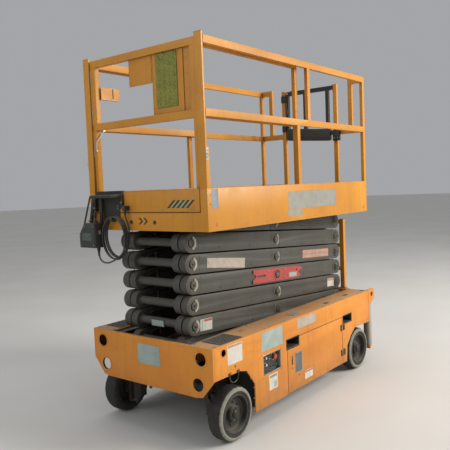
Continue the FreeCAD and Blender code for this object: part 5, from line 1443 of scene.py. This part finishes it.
# ================================================================ extension, small pieces
ex = Shape("extension_fittings", "extension")
FX0 = 1.157
for i in range(5):
    y = .224 + .0430 * i
    ex.prism("yz", [(y, 1.619), (y + .0215, 1.619), (y + .0815, 1.672), (y + .060, 1.672)], FX0, FX0 + .0006, STRIPE_DARK, r=0)
    if i < 4:
        ex.prism("yz", [(y + .0220, 1.619), (y + .0425, 1.619), (y + .1025, 1.672), (y + .0820, 1.672)], FX0, FX0 + .0005, STRIPE_PALE, r=0)
for y, z in ((.466, 1.603), (-.466, 1.603), (.466, 1.728), (-.180, 1.603), (.180, 1.603)):
    ex.bolt((FX0 - .0002, y, z), "x", .0052, ZINC, washer=True, button=True)
ex.weld([(FX0 + .0002, -.512, 1.5925), (FX0 + .0002, .512, 1.5925)], .0012, ORANGE_RAIL)
ex.box((1.1430, -.5165, 1.7415), (1.1585, -.2100, 1.7434), ORANGE_RAIL, .0008)
ex.box((1.1430, -.2000, 1.7415), (1.1585, .5165, 1.7450), ORANGE_RAIL, .001)
lozenges(ex, -.090, 1.135, -.492, .492, 1.620, DECK_STEEL, .036)
for side in (1, -1):
    ex.M = None if side > 0 else MIR
    ex.weld_rect((1.1050, .487), (1.1425, .517), "xy", 1.6210, .0026, ORANGE_RAIL)
    for z in (2.2035,):
        ex.weld_rect((1.1050, .487), (1.1425, .517), "xy", z, .0026, ORANGE_RAIL)
        ex.weld_rect((-.0960, .487), (-.0630, .515), "xy", z, .0024, ORANGE_RAIL)
    ex.weld_rect((1.1050, .471), (1.1425, .517), "xy", 2.2548, .0026, ORANGE_RAIL)
    ex.weld_rect((1.1050, .471), (1.1425, .517), "xy", 2.6655, .0026, ORANGE_RAIL)
    for z0, z1 in ((2.204, 2.254), (2.666, 2.716)):
        ex.weld([(1.1035, .4865, z0), (1.1035, .5155, z0), (1.1035, .5155, z1), (1.1035, .4865, z1)], .0024, ORANGE_RAIL, True)
    ex.box((-.0980, .4860, 2.7150), (-.0610, .5160, 2.7185), BLACK_PL, .001)
    for x in (-.080, .250, .580, .910):
        ex.bolt((x, .5048, 1.690), "y", .0045, ZINC, washer=False, button=True)
    ex.box((.900, .4885, 1.6245), (.960, .4985, 1.6640), ZINC, .001)
    ex.loop((.930, .4830, 1.6560), "x", .0120, .0032, ZINC)
    # front posts' bolted feet
    for z in (1.660, 1.710):
        ex.bolt((1.1042, .5020, z), "-x", .0065, ZINC)
ex.M = None
# spring latch that holds the extension, with its foot pedal
ex.box((-.0950, -.0600, 1.6200), (-.0450, .0600, 1.6290), DARK_STEEL, .002)
ex.box((-.0880, -.0420, 1.6285), (-.0520, .0420, 1.6330), YELLOW_PL, .0015)
ex.cyl((-.0700, -.0720, 1.6270), "y", .0060, .1440, ZINC, 16)
# sheet panels: folds, rivets, pad
for y0, y1 in ((-.122, .104), (.108, .4695)):
    z0 = 2.478 if y0 < 0 else 2.2545
    ex.weld([(1.1238, y0 + .003, 2.6650), (1.1238, y1 - .003, 2.6650)], .0018, ORANGE_RAIL)
    if y0 > 0:
        ex.weld([(1.1238, y0 + .003, z0 + .001), (1.1238, y1 - .003, z0 + .001)], .0018, ORANGE_RAIL)
    ex.box((1.1160, y0 + .0005, z0 + .001), (1.1250, y0 + .0040, 2.6650), ORANGE_RAIL, .001)
    ex.box((1.1160, y1 - .0040, z0 + .001), (1.1250, y1 - .0005, 2.6650), ORANGE_RAIL, .001)
ex.box((1.1160, -.1215, 2.4780), (1.1250, .1035, 2.4815), ORANGE_RAIL, .001)
ex.prism("yz", [(.374, 2.2560), (.399, 2.2560), (.399, 2.6640), (.374, 2.6640)], 1.1228, 1.1300, ORANGE_RAIL, r=.002)
for z in (2.30, 2.40, 2.50, 2.60):
    ex.bolt((1.1228, .425, z), "x", .0042, ZINC, washer=False, button=True)
    ex.bolt((1.1228, .122, z), "x", .0042, ZINC, washer=False, button=True)
for y in (-.108, -.010, .090):
    ex.bolt((1.1228, y, 2.500), "x", .0042, ZINC, washer=False, button=True)
plate(ex, "yz", rounded(.146, .340, 2.298, 2.660, .006), (), 1.1228, 1.1285, PAD, .001)
for i in range(4):
    for j in range(8):
        cy, cz = .1730 + .0460 * i, 2.3210 + .0452 * j + (.0110 if i % 2 else -.0060)
        a_ = math.radians(-42)
        ca, sa = math.cos(a_), math.sin(a_)
        rim_ = [(.0215 * math.cos(t_), .0112 * math.sin(t_)) for t_ in (2 * math.pi * q / 16 for q in range(16))]
        low_ = [(1.1284, cy + u * ca - w_ * sa, cz + u * sa + w_ * ca) for u, w_ in rim_]
        mid_ = [(1.1322, cy + .84 * (u * ca - w_ * sa), cz + .84 * (u * sa + w_ * ca)) for u, w_ in rim_]
        top_ = [(1.1340, cy + .50 * (u * ca - w_ * sa), cz + .50 * (u * sa + w_ * ca)) for u, w_ in rim_]
        ex.put((low_ + mid_ + top_, [tuple(range(32, 48))] + [(16 * h_ + q, 16 * h_ + (q + 1) % 16, 16 * h_ + 16 + (q + 1) % 16, 16 * h_ + 16 + q) for h_ in (0, 1) for q in range(16)]), PAD)
# diagonal brace of the far corner
ex.tube([(1.0720, -.4840, 2.2120), (1.0800, -.4810, 2.2030), (1.0980, -.4795, 2.1800), (1.1250, -.4790, 2.1480), (1.1440, -.4790, 2.1280), (1.1490, -.4820, 2.1150), (1.1500, -.4860, 2.0900), (1.1500, -.4880, 2.0560)], .0050, SIGN_PALE, 8, 5)
ex.box((1.1432, -.4960, 2.0450), (1.1555, -.4800, 2.0610), ZINC, .001)
ex.box((1.0640, -.4900, 2.2000), (1.0860, -.4780, 2.2140), ZINC, .001)
# hanging bracket at the far top corner
bx0, bx1, by0, by1, bz0, bz1 = .925, 1.1035, -.4855, -.4560, 2.434, 2.526
# a comb of black blocks stands for the toothed slot in the bracket: painted shade where the slot opens
for i in range(5):
    ex.box((.9820, by0 + .0050, bz0 + .0180 + .0150 * i), (.9960, by1 + .0010, bz0 + .0270 + .0150 * i), BLACK_PL, .0008)
ex.box((.9850, by0 + .0050, bz0 + .0180), (.9920, by1 + .0008, bz0 + .0890), BLACK_PL, .0008)
# pale strip wrapping the bracket's lower edge: a painted highlight of that edge
ex.box((bx0 - .0010, by1 - .0065, bz0 - .0012), (bx1, by1 + .0010, bz0 + .0025), SIGN_PALE, .0006)
ex.end()

# ================================================================ platform control station
cb = Shape("control_station", "extension")
CB, DK = CTRL_PL, DARK
# hanger over the toe board
cb.box((1.1380, -.4650, 1.7435), (1.1630, -.2060, 1.7490), DK, .0015)
cb.box((1.1380, -.4650, 1.7000), (1.1435, -.2060, 1.7485), DK, .0010)
cb.prism("yz", [(-.5100, 1.7485), (-.2060, 1.7485), (-.2140, 1.6400), (-.2880, 1.5880), (-.3040, 1.5220), (-.4250, 1.5220), (-.4400, 1.6400), (-.5100, 1.6400)], 1.1575, 1.1630, DK, r=.0012)
# tray frame
tray_o = [(1.1580, -.5090), (1.1580, -.2065), (1.2610, -.2225), (1.2610, -.4545)]
tray_i = [(1.1690, -.4970), (1.1690, -.2190), (1.2500, -.2330), (1.2500, -.4460)]
plate(cb, "xy", tray_o, [tray_i], 1.7000, 1.7220, DK, .0025, 2)
cb.prism("xy", [(1.1700, -.4960), (1.1700, -.2200), (1.2495, -.2335), (1.2495, -.4455)], 1.7010, 1.7035, CB, r=.0008)
# arms
for ya, yb, sh in ((-.516, -.490, -.050), (-.440, -.414, 0)):
    cb.box((1.1575, ya, 1.6000), (1.1900, yb, 1.7215), DK, .002, 2)
    cb.prism("yz", [(ya, 1.7215), (yb, 1.7215), (yb + sh, 1.500), (ya + sh, 1.500)], 1.1780, 1.1960, DK, r=.0025, seg=2)
    for z in (1.625, 1.690):
        cb.bolt((1.1898, (ya + yb) / 2, z), "x", .0062, ZINC)
cb.box((1.1575, -.2320, 1.6400), (1.1760, -.2060, 1.7215), DK, .002, 2)
cb.bolt((1.1758, -.2190, 1.6650), "x", .0058, ZINC)
cb.prism("yz", [(-.4550, 1.7180), (-.4700, 1.7180), (-.5830, 1.4380), (-.5680, 1.4380)], 1.2500, 1.2580, DK, r=.0015)
# the box: body, lid lip, gasket line, controls on the slope and the top
body_o = [(-.5850, 1.3350), (-.5850, 1.4400), (-.5250, 1.5200), (-.4150, 1.5200), (-.4050, 1.5050), (-.4050, 1.3350)]
cb.prism("yz", body_o, 1.1900, 1.2760, CB, r=.007, seg=3)
cb.prism("yz", [(-.5780, 1.3440), (-.5780, 1.4370), (-.5215, 1.5125), (-.4185, 1.5125), (-.4120, 1.5020), (-.4120, 1.3440)], 1.2740, 1.2800, CB, r=.003, seg=2)
for z in (1.3750, 1.4650):
    cb.box((1.2795, -.5600 if z < 1.4 else -.5300, z), (1.2809, -.4300, z + .0035), BLACK_PL, 0)
for y, z in ((-.568, 1.354), (-.422, 1.354), (-.422, 1.494), (-.568, 1.428), (-.515, 1.500)):
    cb.cyl((1.2792, y, z), "x", .0046, .0016, ZINC, 12)
cb.box((1.2792, -.5450, 1.3900), (1.2804, -.4450, 1.4450), SIGN_DARK, 0)
cb.box((1.1884, -.5700, 1.3500), (1.1905, -.4200, 1.4300), BLACK_PL, .0005)
# joystick with boot, stop button, toggles on the top
cb.lathe((1.2330, -.4450, 1.5190), "z", [(0, 0), (.0210, 0), (.0215, .0030), (.0180, .0060), (.0185, .0090), (.0140, .0120), (.0145, .0150), (.0090, .0190), (.0070, .0220), (.0062, .0240), (.0062, .0420), (.0105, .0480), (.0118, .0600), (.0105, .0720), (.0060, .0765), (0, .0775)], BLACK_PL, 24)
cb.cyl((1.2330, -.4450, 1.5960), "z", .0048, .0028, RED_PL, 14)
cb.lathe((1.2330, -.4980, 1.5195), "z", [(0, 0), (.0190, 0), (.0190, .0015), (0, .0015)], STRIPE_PALE, 28)
cb.lathe((1.2330, -.4980, 1.5205), "z", [(0, 0), (.0085, 0), (.0085, .0080), (.0165, .0090), (.0175, .0130), (.0160, .0165), (.0090, .0185), (0, .0190)], STOP_PL, 28)
sl = Matrix.Translation((0, -.5550, 1.4800)) @ Matrix.Rotation(math.radians(53.13), 4, "X")
cb.M = sl
for x, m in ((1.208, BLACK_PL), (1.233, BLACK_PL), (1.258, GREEN_PL)):
    for v in (-.022, .014):
        cb.cyl((x, v, .0000), "z", .0062, .0042, ZINC, 14)
        cb.cyl((x, v, .0040), "z", .0032, .0110, m, 10)
cb.prism("xy", rounded(1.1960, 1.2700, -.0400, .0400, .004), -.0004, .0010, SIGN_DARK, r=.0003)
cb.M = None
cb.box((1.1990, -.4120, 1.4100), (1.2650, -.4035, 1.4900), BLACK_PL, .003, 2)
cb.box((1.2200, -.4040, 1.4350), (1.2440, -.4020, 1.4650), GREY_PL, .0008)
# gland, hook, cable's upper block
cb.lathe((1.2140, -.4450, 1.3360), "-z", [(0, 0), (.0130, 0), (.0130, .0080), (.0118, .0090), (.0118, .0120), (.0128, .0130), (.0128, .0230), (.0110, .0240), (0, .0240)], BLACK_PL, 24)
cb.box((1.1620, -.2800, 1.5300), (1.1665, -.2520, 1.6460), DK, .0012)
for z in (1.620, 1.636):
    cb.cyl((1.1660, -.266, z), "x", .0045, .0030, ZINC, 10)
cb.cyl((1.1620, -.2660, 1.5450), "x", .0090, .0755, DK, 20)
cb.lathe((1.2350, -.2660, 1.5450), "x", [(0, 0), (.0150, 0), (.0152, .0020), (.0140, .0048), (0, .0050)], BLACK_PL, 24)
cb.box((1.1575, -.1790, 1.6060), (1.2040, -.1510, 1.6400), BLACK_PL, .004, 2)
for z in (1.6140, 1.6320):
    cb.cyl((1.2036, -.1650, z), "x", .0034, .0022, ZINC, 10)
# loose-tool tray: drain holes and a folded lip
for y in (-.420, -.345, -.270):
    cb.ring((1.2100, y, 1.7034), "z", .0040, .0065, .0008, DARK_STEEL, 14, .0002)
cbo = cb.end()
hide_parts("control_box")

# ================================================================ floor, light
fl = bpy.data.meshes.new("floor")
fl.from_pydata([(60 * math.cos(2 * math.pi * i / 96), 60 * math.sin(2 * math.pi * i / 96), -.0005) for i in range(96)], [], [tuple(range(96))])
g = Graph("floor_pale")
fl.materials.append(g.end(g.mix(g.mr(g.noise(.8, 4, .5), .3, .7), lin("#dcdad5"), lin("#d5d2cc")), .62))
floor = bpy.data.objects.new("floor", fl)
S.collection.objects.link(floor)

S.view_settings.view_transform = "Standard"
S.view_settings.look = "None"

world = bpy.data.worlds.new("studio")
world.use_nodes = True
world.node_tree.nodes["Background"].inputs[0].default_value = (.80, .82, .85, 1)
world.node_tree.nodes["Background"].inputs[1].default_value = .46
S.world = world


def area(name, at, aim, size, power, color=(1, 1, 1)):
    d = bpy.data.lights.new(name, "AREA")
    d.shape, d.size, d.size_y, d.energy, d.color = "RECTANGLE", size[0], size[1], power, color
    o = bpy.data.objects.new(name, d)
    o.location = at
    o.rotation_euler = (Vector(aim) - Vector(at)).to_track_quat("-Z", "Y").to_euler()
    S.collection.objects.link(o)


area("key", (-4.8, 8.0, 5.2), (-.1, 0, 1.0), (4.5, 4.5), 1060, (1, .955, .90))
area("fill", (5.5, -1.0, 3.6), (0, 0, 1.1), (4, 4), 66, (.92, .96, 1))
area("top", (0, 0, 6.5), (0, 0, 0), (5, 5), 95)
